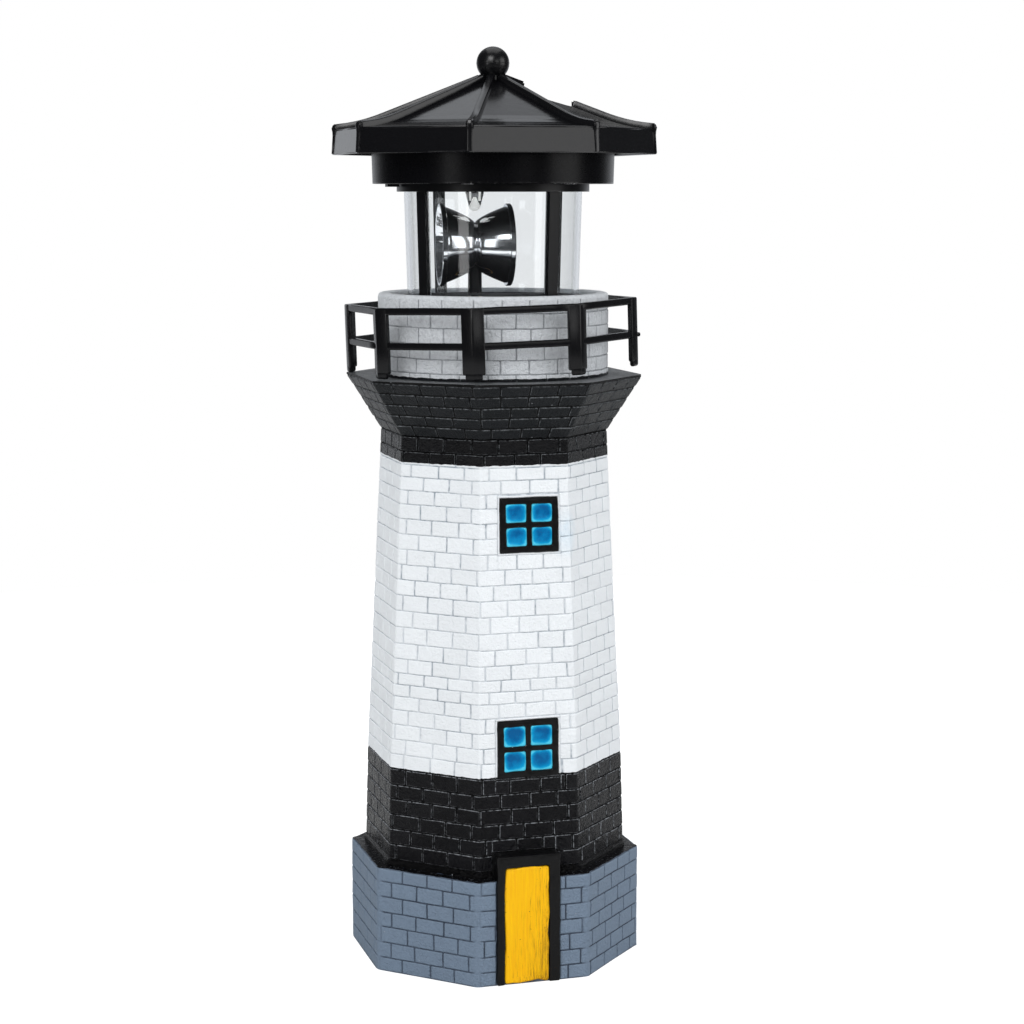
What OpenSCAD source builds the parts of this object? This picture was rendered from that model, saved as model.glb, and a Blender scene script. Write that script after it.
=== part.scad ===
// Garden lighthouse ornament: a hollow cast tower with a solar lantern head.
// Millimetres, +Z up. The origin is the middle of the underside and the door faces -Y.

/* [Tower] */
// Corner radius of the octagonal plinth
plinth_r = 58; // [55:0.5:64]
// Height of the plinth
plinth_h = 40.9; // [34:0.1:50]
// Corner radius of the shaft where it leaves the plinth
foot_r = 52.1; // [50.5:0.1:53]
// Corner radius of the shaft at the top of the dark band
band_r = 51; // [49:0.1:52]
// Height of the dark band above the plinth
band_h = 38.3; // [30:0.1:50]
// Corner radius of the shaft under the neck
shaft_top_r = 45.1; // [44.6:0.1:47]
// Height of the pale shaft above the dark band
shaft_h = 117.8; // [116:0.1:150]
// Corner radius of the neck at its top
neck_r = 44.7; // [44.3:0.1:46]
// Height of the neck
neck_h = 10.8; // [6:0.1:18]
// Height of the corbel under the deck
corbel_h = 21.8; // [16:0.1:30]
// Width of the gallery from the drum to the deck's corners
gallery_w = 13.4; // [12.8:0.1:18]
// Height of the deck's upright edge
deck_edge = 0.8; // [0.5:0.1:3]
// Wall of the round drum round the lantern floor
drum_wall = 5.2; // [4:0.1:6]
// Height of the drum
drum_h = 31.7; // [29:0.1:40]
// Wall between the hollow and the shaft's corners, at the plinth and at the neck
tower_wall = 5.3; // [4:0.1:6]

/* [Lantern floor] */
// Radius of the lantern floor, which sits in the top of the drum
floor_r = 39.25; // [37.5:0.05:40.5]
// Thickness of the lantern floor
floor_t = 2; // [1.6:0.1:3]
// How far the lantern floor lies below the drum's rim
floor_sink = 1.6; // [0.5:0.1:4]
// Radius of the plug skirt below the floor
skirt_r = 36.2; // [34:0.1:36.3]
// Height of the plug skirt
skirt_h = 28.2; // [26:0.1:34]
// Wall of the plug skirt
skirt_wall = 2; // [1.4:0.1:2.4]
// Gap between the lantern head's plug and its socket in the drum
socket_gap = 0.35; // [0.3:0.05:0.8]

/* [Lantern] */
// Height from the lantern floor to the ceiling flange
lantern_h = 40.3; // [36:0.1:55]
// Outer radius of the clear lens at its foot
lens_foot_r = 33.3; // [32:0.1:34]
// Outer radius of the clear lens at its top
lens_top_r = 34.5; // [33:0.1:35]
// Wall of the clear lens
lens_wall = 1.6; // [1.4:0.1:2]
// Width of a cage post
post_w = 4.8; // [3:0.1:7]
// Thickness of a cage post
post_t = 2.4; // [2:0.1:3]
// How far the posts are turned from the tower's corners
cage_turn = 1.5; // [-3:0.1:3]
// Radius of the ceiling flange
flange_r = 37.3; // [37:0.1:38]
// Thickness of the ceiling flange
flange_t = 3; // [2.6:0.1:5]

/* [Reflector] */
// Distance of the spindle from the lantern's middle
spindle_off = 7.4; // [6:0.1:8.5]
// Radius of the spindle
spindle_r = 1.5; // [1.2:0.05:1.7]
// Radius of the spindle's hub above the floor
hub_r = 2.7; // [2.3:0.1:4]
// Height of the reflector's middle above the lantern floor
lamp_h = 19.9; // [18:0.1:22]
// Radius of the reflector's rims
rim_r = 15.9; // [14:0.1:16.5]
// Half of the reflector's length
reflector_half = 13.9; // [12:0.1:15]
// Radius of the reflector's waist
waist_r = 10.3; // [8:0.1:11]
// How far the reflector is turned from the door's plane
reflector_turn = -8.2; // [-90:0.1:90]

/* [Gears] */
// Gear module
gear_m = 0.5; // [0.45:0.01:0.52]
// Teeth of the two wheels
wheel_teeth = 40; // [36:2:42]
// Teeth of the two pinions
pinion_teeth = 10; // [10:2:12]
// Thickness of the wheels
wheel_t = 2.8; // [2:0.1:2.9]
// Flank play of each gear at its pitch circle
gear_play = 0.05; // [0.03:0.01:0.08]
// Radius of the motor can
motor_r = 12.2; // [11:0.1:12.6]
// Height of the motor can
motor_h = 12.3; // [9:0.1:12.8]

/* [Roof] */
// Radius of the ring housing at its foot
ring_r = 46.6; // [46.4:0.1:48]
// Height of the ring housing below the eave
ring_h = 11.2; // [9.5:0.1:16]
// Corner radius of the eave's lower edge
eave_r = 63.2; // [62:0.1:68]
// Height of the eave skirt
eave_h = 9.4; // [8.4:0.1:14]
// Rise of the roof's flat facets from the eave skirt to where they would meet
roof_rise = 20.6; // [20:0.1:24]
// Fall of the facets for each millimetre of corner radius
roof_slope = 0.38; // [0.37:0.005:0.42]
// Wall of the roof
roof_t = 2.2; // [1.8:0.1:2.6]
// Width of a roof rib
rib_w = 2.8; // [2:0.1:4]
// Height of a roof rib above the facets' ridge
rib_h = 2.3; // [1.6:0.1:3]
// Radius of the finial ball
ball_r = 6.35; // [5:0.05:8]
// How far the roof is turned from the tower's corners
roof_turn = -1.46; // [-3:0.01:3]

/* [Solar panel] */
// Side of the panel
panel_w = 42.2; // [38:0.1:43]
// Slope of the panel, in degrees
panel_tilt = 11.4; // [10:0.1:12]
// Distance from the roof's middle to the panel seat
panel_start = 6.6; // [6.2:0.1:8]
// Depth of the panel seat's inner edge below where the facets would meet
panel_drop = 9.2; // [8.8:0.1:10]

/* [Railing] */
// How far the railing's corners lie inside the deck's corners
rail_inset = 1.9; // [1.5:0.1:3]
// Height of the railing
rail_h = 26.7; // [20:0.1:30]
// Height of the two rails
rail_bar_h = 2.7; // [2:0.1:4]
// Depth of the two rails
rail_bar_t = 2.5; // [2:0.1:3]
// Drop from the top rail's top to the middle rail's top
rail_drop = 13; // [8:0.1:16]
// Width of each flange of a railing post
rail_flange = 4.8; // [3.5:0.1:6]
// Lean of the glued railing, in degrees
rail_lean = 1.65; // [0:0.05:2]

/* [Door and windows] */
// Width of the door leaf
door_w = 17.8; // [14:0.1:20]
// Height of the door leaf
door_h = 45.7; // [43:0.1:48]
// Width of the upper window
upper_w = 23.1; // [18:0.1:24]
// Height of the upper window
upper_h = 20.9; // [16:0.1:22]
// Height of the upper window's middle above the dark band
upper_z = 96.2; // [80:0.1:100]
// Width of the lower window
lower_w = 24.2; // [18:0.1:25]
// Height of the lower window
lower_h = 22.1; // [16:0.1:23]
// Height of the lower window's middle above the dark band
lower_z = 10.9; // [11:0.1:30]

/* [Electrics] */
// Radius of the battery cell
cell_r = 7.25; // [5.25:0.05:7.5]
// Length of the battery cell's case
cell_len = 49.2; // [44:0.1:49.5]
// Travel of the on/off switch
switch_travel = 3; // [2:0.1:3.5]
// Side of the switch knob along the ring's radius
knob_w = 4.6; // [3.5:0.1:4.8]
// Side of the switch knob along its travel
knob_l = 4; // [3:0.1:5]

/* [Hidden] */

$fn = 64;
corner = 22.5;
flat = cos(corner);
// Small lap that keeps cuts and joined solids clean
lap = 0.5;
// Play of a turning shaft, of a fixed piece in its seat, and of a pressed piece
run_gap = 0.05;
seat_gap = 0.1;
press_gap = 0.01;
// Screws, and how much wider the holes are that they pass freely
screw_r = 1.1;
motor_screw_r = 1;
board_screw_r = 0.9;
roof_screw_r = 1.2;
screw_gap = 0.25;

// Levels of the tower
z_band = plinth_h + band_h;
z_neck = z_band + shaft_h;
z_corbel = z_neck + neck_h;
z_deck = z_corbel + corbel_h;
z_rim = z_deck + drum_h;
z_seat = z_rim - floor_sink - floor_t;
z_floor = z_seat + floor_t;
z_ceiling = z_floor + lantern_h;
z_ring = z_ceiling + flange_t;
z_eave = z_ring + ring_h;
z_skirt = z_eave + eave_h;
z_apex = z_skirt + roof_rise;

// Radii of the drum and the deck
drum_r = floor_r + socket_gap + drum_wall;
deck_r = drum_r + gallery_w;

// Hollow and socket of the tower
hollow_foot_r = foot_r - tower_wall;
hollow_top_r = shaft_top_r - tower_wall;
socket_r = skirt_r + socket_gap;
seat_r = floor_r + socket_gap;
shaft_taper = (band_r - shaft_top_r) * flat / shaft_h;
shaft_lean = atan(shaft_taper);

// Lantern floor, gearbox and motor
skirt_in_r = skirt_r - skirt_wall;
cover_t = 2;
cover_lip = 0.9;
z_skirt_foot = z_seat - skirt_h;
bush_boss_h = 1.1;
bush_boss_r = 5;
bush_r = 3;
gear_gap = 0.4;
z_out_top = z_seat - bush_boss_h - gear_gap;
z_out = z_out_top - wheel_t;
z_idler_top = z_out - gear_gap;
z_idler = z_idler_top - wheel_t;
idler_boss_h = 1.6;
idler_boss_wall = 1.2;
z_gear_floor = z_idler - gear_gap - idler_boss_h;
gear_floor_t = 2.4;
z_motor_top = z_gear_floor - gear_floor_t;
gear_floor_r = skirt_in_r - 0.3;
axle_r = 1;
motor_shaft_r = 1;
motor_boss_r = 3;
motor_boss_h = 1.4;
spindle_foot_h = 1.6;
spindle_foot_r = 3;
spindle_foot_depth = 3.4;
gear_centres = gear_m * (wheel_teeth + pinion_teeth) / 2;
idler_dir = 40;
motor_dir = -35;
spindle_at = [-spindle_off, 0];
idler_at = spindle_at + gear_centres * [cos(idler_dir), sin(idler_dir)];
motor_at = idler_at + gear_centres * [cos(motor_dir), sin(motor_dir)];
motor_screw_off = 7;
terminal_w = 0.8;
terminal_h = 1.6;
terminal_ring = 10;
terminal_dir = 131;
motor_shaft_seat = 4;
motor_screw_depth = 2.4;
z_motor_pinion = z_idler - gear_gap;
motor_pinion_h = wheel_t + gear_gap + 0.3;
gearbox_screw_ring = 27;
gearbox_screw_dirs = [100, 220, 340];
gearbox_boss_r = 3;
gearbox_screw_depth = 6;
axle_seat = 1;

// Lantern
lens_groove = 0.8;
post_foot_r = lens_foot_r + 0.3;
post_top_r = lens_top_r + 0.3;
peg_r = 0.9;
peg_h = 1.4;
z_lamp = z_floor + lamp_h;
hub_lift = 0.5;
hub_socket = 3;
z_hub_top = z_lamp - waist_r + hub_socket;
z_spindle = z_gear_floor + spindle_foot_h - spindle_foot_depth + 0.2;
rim_lip = 1.3;
rim_step = 1.2;
bowl_steps = 8;
bowl_depth = reflector_half - 1.2;
bowl_r = rim_r - rim_step;
led_top_r = 3.7;
led_tip_r = 2.35;
led_len = 7.5;
led_flange_h = 2;
led_pin_off = 1.27;
led_pin_w = 0.5;
led_pin_h = 8.5;
holder_r = 4.8;
holder_rim_w = 1.4;
holder_rim_h = 1.2;
led_hole_r = 2.6;
cage_screw_ring = 25;
cage_screw_dirs = [10, 190, 270];
cage_screw_depth = 2.3;
channel_w = 2.6;
lead_turn = corner + cage_turn + 90;

// Ring housing and what it holds
ring_floor_t = 2;
ring_wall = 1.8;
ring_draft = 0.4;
ring_tuck = 2;
z_tray = z_ring + ring_floor_t;
ring_in_r = ring_r - ring_wall;
roof_screw_ring = 40.2;
roof_screw_dirs = [60, 120, 240, 300];
roof_screw_sink = 1.2;
roof_screw_depth = 6;
roof_boss_r = 2.9;
spigot_wall = 2;
spigot_lift = 6;
switch_at = 40.5;
switch_h = 3.8;
switch_w = knob_w + 1.8;
switch_gap = 0.15;
switch_end_gap = 0.3;
switch_end = 1.8;
knob_grip = 2.4;
knob_drop = 1.2;
cell_at = 20;
cradle_t = 1.4;
cradle_side = 1;
cradle_top = 2;
cradle_waist = 2;
cradle_hook = 6;
cell_nub_r = 2.75;
cell_nub = 1.3;
contact_t = 0.4;
contact_w = 7;
contact_h = 7;
contact_drop = 4;
contact_tag = 1.5;
tag_w = 2;
cradle_wall = 2;
cradle_len = cell_len + cell_nub + 2 * contact_t + 2 * cradle_wall + 0.4;
contact_x = cradle_len / 2 - cradle_wall - contact_t - press_gap;
tag_x = cradle_len / 2 + contact_tag;
z_cell = z_tray + cradle_t + cell_r;
z_tag = z_cell - 3;
board_at = [4, -19];
board_size = [38, 17, 1.6];
board_lift = 3;
board_hole = 15;
board_screw_depth = 2.8;
board_post_r = 2.4;
chip_at = [-6, 1];
chip_size = [6, 4, 1.6];
store_at = [6, 2];
store_r = 2.5;
store_h = 5;
coil_at = [7, -5];
coil_r = 1.6;
coil_h = 4;
z_board = z_tray + board_lift;
z_board_top = z_board + board_size.z;

// Roof
roof_reach = 30;
eave_draw = 0.8;
eave_top_r = eave_r - eave_draw;
flare_w = 19.4;
flare_start = eave_top_r - flare_w;
flare_lift = z_skirt - (z_apex - roof_slope * eave_top_r);
flare_steps = 5;
rib_edge = 0.7;
crown_r = 4.3;
crown_z = z_apex - 1.9;
finial_z = crown_z + 6.6;
finial_stem_r = 2;
finial_stem_h = 5;
stem_wall = 2;
stem_floor = 3;

// Solar panel and its seat, in the seat's own tilted frame
seat_rim = 1.4;
seat_w = panel_w + 2 * seat_gap + 2 * seat_rim;
seat_wall = 1.6;
seat_t = 4.2;
board_t = 1.6;
glaze_t = 0.6;
panel_sink = 0.2;
wire_hole_r = 2;

// Door and windows
trim_proud = 0.6;
trim_depth = 1;
door_proud = 1;
door_sink = 0.6;
door_left = -11.4;
door_jamb_left = 3;
door_jamb_right = 4.3;
door_sill = 0.3;
door_lintel = 4.5;
door_front = plinth_r * flat + door_proud;
door_back = foot_r * flat - 0.2;
upper_x = 1.6;
lower_x = 0.1;
frame_bar = 2.5;
muntin = 2;

// Railing
rail_post_t = 2.1;
rail_shift = [-1.44, 0.43];
rail_lean_axis = [0.287, 0.958, 0];
rail_r = deck_r - rail_inset;
rail_lift = rail_r * sin(rail_lean);

// Leads: their radius, half the spacing of a pair, and the middle of each pair's route
lead_r = 0.5;
lead_off = 0.6;
lead_end = 0.55;
lead_tail = 1;
terminal_off = 2.5;
lead_foot_r = lens_foot_r - 0.2;
lead_top_r = lens_top_r - 0.1;
motor_lead_low = [[-3, 19.5, z_skirt_foot + 5], [-9, 26, z_skirt_foot + 10]];
motor_lead_high = [[-16.5, 30.8, z_tray + 1.6], [-20, 30.4, z_tray + 1.6],
                   [-26, 30.4, z_tray + 1.6], [-30.5, 28.8, z_tray + 1.6],
                   [-33.8, 25, z_tray + 1.6], [-34.8, 20, z_tray + 1.6],
                   [-34.8, 9, z_tray + 1.6],
                   [-32, 0, z_tray + 1.6], [-27, -9, z_tray + 1.6],
                   [-20.5, -15.2, z_tray + 2.2]];
motor_lead_end = [[-17, -16, z_board_top + 2 * lead_end], [-13.5, -16, z_board_top + lead_end]];
motor_lead_lift = 1.6;
switch_lead_y = -3.5;
switch_lead_run = [[-35, -4.2, z_tray + 2], [-33, -9, z_tray + 1.4], [-27, -17, z_tray + 1.4],
                   [-20.5, -21, z_tray + 2.2], [-17, -21.6, z_board_top + 2 * lead_end],
                   [-13.5, -21.6, z_board_top + lead_end]];
led_lead_run = [[-7.2, -3.2, z_board_top + 0.6], [-5.8, -8.6, z_board_top + 2 * lead_end],
                [-4.6, -12.5, z_board_top + lead_end]];
left_battery_lead = [[-8, -13, z_board_top + lead_end], [-10.2, -9.2, z_board_top + 0.9],
                     [-16, -7, z_tray + 3.5], [-21, 1, z_tray + 1.4], [-28.5, 9, z_tray + 1.2],
                     [-31.4, 14, z_tray + 2], [-31.9, 18.6, z_tag - 1]];
right_battery_lead = [[16, -13, z_board_top + lead_end], [17.5, -9.2, z_board_top + 0.9],
                      [21, -3.5, z_tray + 2], [28.5, 2.5, z_tray + 1.2], [30.4, 9.5, z_tray + 1.2],
                      [31.6, 14, z_tray + 2], [31.9, 18.6, z_tag - 1]];
panel_lead_run = [[5, -13, z_board_top + lead_end], [6.2, -10.2, z_board_top + 2.4],
                  [9.5, -6, z_board_top + 6.4], [14, -1.5, z_board_top + 9.4],
                  [20, 4.2, z_board_top + 12.6]];

// ---- Helpers ----

// Height of the roof's corner ridge at a corner radius
function ridge_z(r) =
    z_apex - roof_slope * r
    + (r > flare_start ? flare_lift * pow((r - flare_start) / flare_w, 2) : 0);

function involute(a) = tan(a) * 180 / PI - a;

// Half of a tooth's angle at radius r, for n teeth
function tooth_half(n, r) =
    let (pitch = gear_m * n / 2, base = pitch * cos(20), grow = acos(min(1, base / r)))
    90 / n + involute(20) - involute(grow) - gear_play / pitch * 180 / PI;

function gear_points(n) =
    let (pitch = gear_m * n / 2, root = pitch - 1.15 * gear_m, tip = pitch + 0.8 * gear_m,
         radii = [root, max(root + 0.05, pitch * cos(20)), pitch, tip])
    [for (i = [0 : n - 1], side = [-1, 1], k = [0 : 3])
        let (r = side < 0 ? radii[k] : radii[3 - k], a = i * 360 / n + side * tooth_half(n, r))
        [r * cos(a), r * sin(a)]];

function unit(v) = v / norm(v);

function path_dirs(p) =
    [for (i = [0 : len(p) - 1]) unit(p[min(i + 1, len(p) - 1)] - p[max(i - 1, 0)])];

function path_normals(t, i = 0, done = []) =
    i == len(t) ? done :
    let (n = i == 0 ? cross(t[0], abs(t[0].x) < 0.9 ? [1, 0, 0] : [0, 1, 0])
                    : done[i - 1] - t[i] * (done[i - 1] * t[i]))
    path_normals(t, i + 1, concat(done, [unit(n)]));

// A round lead along points, as one swept solid
module lead(points, r) {
    sides = 8;
    t = path_dirs(points);
    n = path_normals(t);
    count = len(points);
    ring = [for (i = [0 : count - 1], k = [0 : sides - 1])
        let (a = k * 360 / sides)
        points[i] + r * (cos(a) * n[i] + sin(a) * cross(t[i], n[i]))];
    walls = [for (i = [0 : count - 2], k = [0 : sides - 1])
        let (m = (k + 1) % sides, a = i * sides, b = a + sides)
        [a + k, b + k, b + m, a + m]];
    ends = [[for (k = [0 : sides - 1]) k],
            [for (k = [sides - 1 : -1 : 0]) (count - 1) * sides + k]];
    polyhedron(ring, concat(walls, ends));
}

module at_tower_corner() {
    rotate([0, 0, corner]) children();
}

// An octagon turned along a profile of corner radii and heights
module octagonal(profile) {
    right = [for (p = profile) [p.x * flat, p.y]];
    left = [for (i = [len(profile) - 1 : -1 : 0]) [-right[i].x, right[i].y]];
    reach = 2 * max([for (p = profile) p.x]);
    intersection_for(i = [0 : 3])
        rotate([90, 0, i * 45])
            linear_extrude(reach, center = true) polygon(concat(right, left));
}

module octagon(r, h) {
    octagonal([[r, 0], [r, h]]);
}

module up(z) {
    translate([0, 0, z]) children();
}

module at(p, z) {
    translate([p.x, p.y, z]) children();
}

module gear(n, h) {
    linear_extrude(h) polygon(gear_points(n));
}

// A pan-head screw pointing along +Z with its head below z = 0
module screw(r, shank_h) {
    head_r = 2 * r;
    head_h = 1.2 * r;
    slot_w = 0.5 * r;
    difference() {
        union() {
            up(-head_h) cylinder(r = head_r, h = head_h, $fn = 32);
            cylinder(r = r - press_gap, h = shank_h, $fn = 32);
        }
        for (a = [0, 90])
            rotate([0, 0, a])
                translate([-head_r * 0.65, -slot_w / 2, -head_h - lap])
                    cube([head_r * 1.3, slot_w, lap + head_h * 0.5]);
    }
}

// Copies a piece round the middle, out at a radius, at each of some directions
module each_dir(dirs, out) {
    for (a = dirs) rotate([0, 0, a]) translate([out, 0, 0]) children();
}

module screw_hole(r, h) {
    cylinder(r = r, h = h, $fn = 32);
}

// A point beside the hollow post: out from the middle, across, and up
function post_point(out, across, z) =
    [out * cos(lead_turn) - across * sin(lead_turn),
     out * sin(lead_turn) + across * cos(lead_turn), z];

// A point of the panel seat's own tilted frame
function seat_point(x, y, z) =
    let (a = corner + roof_turn, out = panel_start + x * cos(panel_tilt) + z * sin(panel_tilt))
    [out * cos(a) - y * sin(a), out * sin(a) + y * cos(a),
     z_apex - panel_drop - x * sin(panel_tilt) + z * cos(panel_tilt)];

// ---- Tower ----

module tower_outside() {
    octagonal([[plinth_r, 0], [plinth_r, plinth_h], [foot_r, plinth_h], [band_r, z_band],
               [shaft_top_r, z_neck], [neck_r, z_corbel], [deck_r, z_deck - deck_edge],
               [deck_r, z_deck]]);
    up(z_deck - lap) cylinder(r = drum_r, h = drum_h + lap, $fn = 96);
}

module tower_body() {
    color("whitesmoke")
    difference() {
        tower_outside();
        octagonal([[hollow_foot_r, -lap], [hollow_top_r, z_neck]]);
        up(z_neck - lap) cylinder(r = socket_r, h = z_rim, $fn = 96);
        up(z_seat) cylinder(r = seat_r, h = z_rim, $fn = 96);
        door_block(seat_gap, lap);
        on_shaft(upper_x, upper_z) window_block(upper_w, upper_h, seat_gap, lap);
        on_shaft(lower_x, lower_z) window_block(lower_w, lower_h, seat_gap, lap);
    }
}

// Places a piece on the shaft's door side: x along the wall, z up the wall, -y outwards
module on_shaft(x, z) {
    translate([x, -band_r * flat + z * shaft_taper, z_band + z])
        rotate([-shaft_lean, 0, 0]) children();
}

module window_block(w, h, gap, proud) {
    translate([-w / 2 - gap, -proud, -h / 2 - gap])
        cube([w + 2 * gap, proud + trim_depth, h + 2 * gap]);
}

module each_pane(w, h) {
    pane_w = (w - 2 * frame_bar - muntin) / 2;
    pane_h = (h - 2 * frame_bar - muntin) / 2;
    for (sx = [-1, 1], sz = [-1, 1])
        translate([sx * (pane_w + muntin) / 2, 0, sz * (pane_h + muntin) / 2])
            pane_cut(pane_w, pane_h) children();
}

module pane_cut(w, h) {
    $pane_w = w;
    $pane_h = h;
    children();
}

module window_frame(w, h) {
    difference() {
        window_block(w, h, 0, trim_proud);
        each_pane(w, h)
            translate([-$pane_w / 2, -trim_proud - lap, -$pane_h / 2])
                cube([$pane_w, trim_proud + trim_depth + 2 * lap, $pane_h]);
    }
}

module window_panes(w, h) {
    each_pane(w, h)
        translate([-$pane_w / 2 + press_gap, 0, -$pane_h / 2 + press_gap])
            cube([$pane_w - 2 * press_gap, trim_depth, $pane_h - 2 * press_gap]);
}

module upper_window_frame() {
    color("black") on_shaft(upper_x, upper_z) window_frame(upper_w, upper_h);
}

module upper_window_panes() {
    color("deepskyblue") on_shaft(upper_x, upper_z) window_panes(upper_w, upper_h);
}

module lower_window_frame() {
    color("black") on_shaft(lower_x, lower_z) window_frame(lower_w, lower_h);
}

module lower_window_panes() {
    color("deepskyblue") on_shaft(lower_x, lower_z) window_panes(lower_w, lower_h);
}

module door_block(gap, over) {
    translate([door_left - door_jamb_left - gap, -door_front - over, -over])
        cube([door_w + door_jamb_left + door_jamb_right + 2 * gap,
              door_front + over - door_back + gap,
              door_sill + door_h + door_lintel + over + gap]);
}

module door_frame() {
    color("black")
    difference() {
        door_block(0, 0);
        translate([door_left, -plinth_r, -lap]) cube([door_w, plinth_r, door_sill + door_h + lap]);
    }
}

module door_leaf() {
    color("gold")
    translate([door_left + press_gap, -door_front + door_sink, door_sill])
        cube([door_w - 2 * press_gap, door_front - door_sink - door_back, door_h - press_gap]);
}

// ---- Railing ----

module rail_loop(z) {
    up(z)
    difference() {
        octagon(rail_r, rail_bar_h);
        up(-lap) octagon(rail_r - rail_bar_t / flat, rail_bar_h + 2 * lap);
    }
}

module rail_post() {
    intersection() {
        difference() {
            octagon(rail_r, rail_h);
            up(-lap) octagon(rail_r - rail_post_t / flat, rail_h + 2 * lap);
        }
        at_tower_corner()
            translate([rail_r - rail_flange, -rail_flange * flat, 0])
                cube([2 * rail_flange, 2 * rail_flange * flat, rail_h]);
    }
}

module gallery_railing() {
    color("black")
    at(rail_shift, z_deck + rail_lift)
        rotate(a = -rail_lean, v = rail_lean_axis) {
            rail_loop(rail_h - rail_bar_h);
            rail_loop(rail_h - rail_drop - rail_bar_h);
            for (i = [0 : 7]) rotate([0, 0, i * 45]) rail_post();
        }
}

// ---- Lantern floor, gearbox and motor ----

module lantern_base() {
    color("black")
    difference() {
        union() {
            up(z_seat) cylinder(r = floor_r, h = floor_t, $fn = 96);
            up(z_skirt_foot)
                difference() {
                    cylinder(r = skirt_r, h = skirt_h, $fn = 96);
                    up(-lap) cylinder(r = skirt_in_r, h = skirt_h + lap, $fn = 96);
                }
            at(spindle_at, z_seat - bush_boss_h)
                cylinder(r = bush_boss_r, h = bush_boss_h + lap);
            each_gearbox_screw() up(z_gear_floor)
                cylinder(r = gearbox_boss_r, h = z_seat - z_gear_floor + lap, $fn = 32);
        }
        up(z_skirt_foot - lap)
            cylinder(r = skirt_in_r + cover_lip, h = cover_t + lap, $fn = 96);
        at(spindle_at, z_seat - bush_boss_h - lap)
            cylinder(r = bush_r + press_gap, h = z_floor);
        lens_ring(z_floor - lens_groove, lens_groove + lap, seat_gap);
        cage_pegs(press_gap, lap);
        each_gearbox_screw() up(z_gear_floor - lap)
            screw_hole(screw_r, gearbox_screw_depth + 2 * lap);
        idler_pin_hole(z_seat - lap, axle_seat + lap);
        lead_hole(z_seat - lap, floor_t + 2 * lap);
    }
}

module each_gearbox_screw() {
    each_dir(gearbox_screw_dirs, gearbox_screw_ring) children();
}

module each_motor_screw() {
    for (s = [-1, 1]) at(motor_at + [0, s * motor_screw_off], 0) children();
}

module idler_pin_hole(z, h) {
    at(idler_at, z) cylinder(r = axle_r + press_gap, h = h, $fn = 32);
}

module gearbox_floor() {
    color("dimgray")
    difference() {
        union() {
            up(z_motor_top) cylinder(r = gear_floor_r, h = gear_floor_t, $fn = 96);
            at(idler_at, z_gear_floor - lap)
                cylinder(r = axle_r + idler_boss_wall, h = idler_boss_h + lap, $fn = 32);
            at(spindle_at, z_gear_floor - lap)
                cylinder(r = spindle_foot_r, h = spindle_foot_h + lap, $fn = 32);
        }
        at(spindle_at, z_gear_floor + spindle_foot_h - spindle_foot_depth)
            cylinder(r = spindle_r + run_gap, h = spindle_foot_depth + lap, $fn = 32);
        idler_pin_hole(z_motor_top - lap, gear_floor_t + idler_boss_h + 2 * lap);
        at(motor_at, z_motor_top - lap)
            cylinder(r = motor_boss_r + seat_gap, h = gear_floor_t + 2 * lap, $fn = 48);
        each_motor_screw() up(z_motor_top - lap)
            screw_hole(motor_screw_r + seat_gap, gear_floor_t + 2 * lap);
        each_gearbox_screw() up(z_motor_top - lap)
            screw_hole(screw_r + screw_gap, gear_floor_t + 2 * lap);
        lead_hole(z_motor_top - lap, gear_floor_t + 2 * lap);
    }
}

module gearbox_screws() {
    color("silver")
    each_gearbox_screw() up(z_motor_top) screw(screw_r, gear_floor_t + gearbox_screw_depth);
}

module motor() {
    color("silver")
    difference() {
        at(motor_at, z_motor_top - motor_h) {
            cylinder(r = motor_r, h = motor_h);
            cylinder(r = motor_boss_r, h = motor_h + motor_boss_h, $fn = 48);
            rotate([0, 0, terminal_dir])
                for (s = [-1, 1])
                    translate([terminal_ring - terminal_w / 2,
                               s * terminal_off - terminal_w / 2, -terminal_h])
                        cube([terminal_w, terminal_w, terminal_h + lap]);
        }
        at(motor_at, z_motor_top - motor_shaft_seat)
            cylinder(r = motor_shaft_r + run_gap, h = motor_shaft_seat + motor_boss_h + lap,
                     $fn = 32);
        each_motor_screw() up(z_motor_top - motor_screw_depth - lap)
            screw_hole(motor_screw_r, motor_screw_depth + 2 * lap);
    }
}

module motor_screws() {
    color("silver")
    each_motor_screw() up(z_gear_floor)
        mirror([0, 0, 1]) screw(motor_screw_r, gear_floor_t + motor_screw_depth);
}

module motor_shaft() {
    low = z_motor_top - motor_shaft_seat + seat_gap;
    color("silver")
    at(motor_at, low)
        cylinder(r = motor_shaft_r, h = z_motor_pinion + motor_pinion_h - low, $fn = 32);
}

module motor_pinion() {
    color("ivory")
    at(motor_at, z_motor_pinion)
    difference() {
        // A gap faces the idler wheel's tooth
        rotate([0, 0, motor_dir + 180 + 180 / pinion_teeth]) gear(pinion_teeth, motor_pinion_h);
        up(-lap) cylinder(r = motor_shaft_r + press_gap, h = motor_pinion_h + 2 * lap, $fn = 32);
    }
}

module idler_gear() {
    color("ivory")
    at(idler_at, z_idler)
    difference() {
        union() {
            rotate([0, 0, motor_dir]) gear(wheel_teeth, wheel_t);
            rotate([0, 0, idler_dir + 180 + 180 / pinion_teeth])
                gear(pinion_teeth, 2 * wheel_t + 2 * gear_gap);
        }
        up(-lap)
            cylinder(r = axle_r + run_gap, h = 3 * wheel_t + 2 * lap, $fn = 32);
    }
}

module idler_axle() {
    color("silver")
    at(idler_at, z_motor_top) cylinder(r = axle_r, h = z_seat + axle_seat - z_motor_top, $fn = 32);
}

module output_gear() {
    color("ivory")
    at(spindle_at, z_out)
    difference() {
        rotate([0, 0, idler_dir]) gear(wheel_teeth, wheel_t);
        up(-lap) cylinder(r = spindle_r + press_gap, h = wheel_t + 2 * lap, $fn = 32);
    }
}

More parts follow.
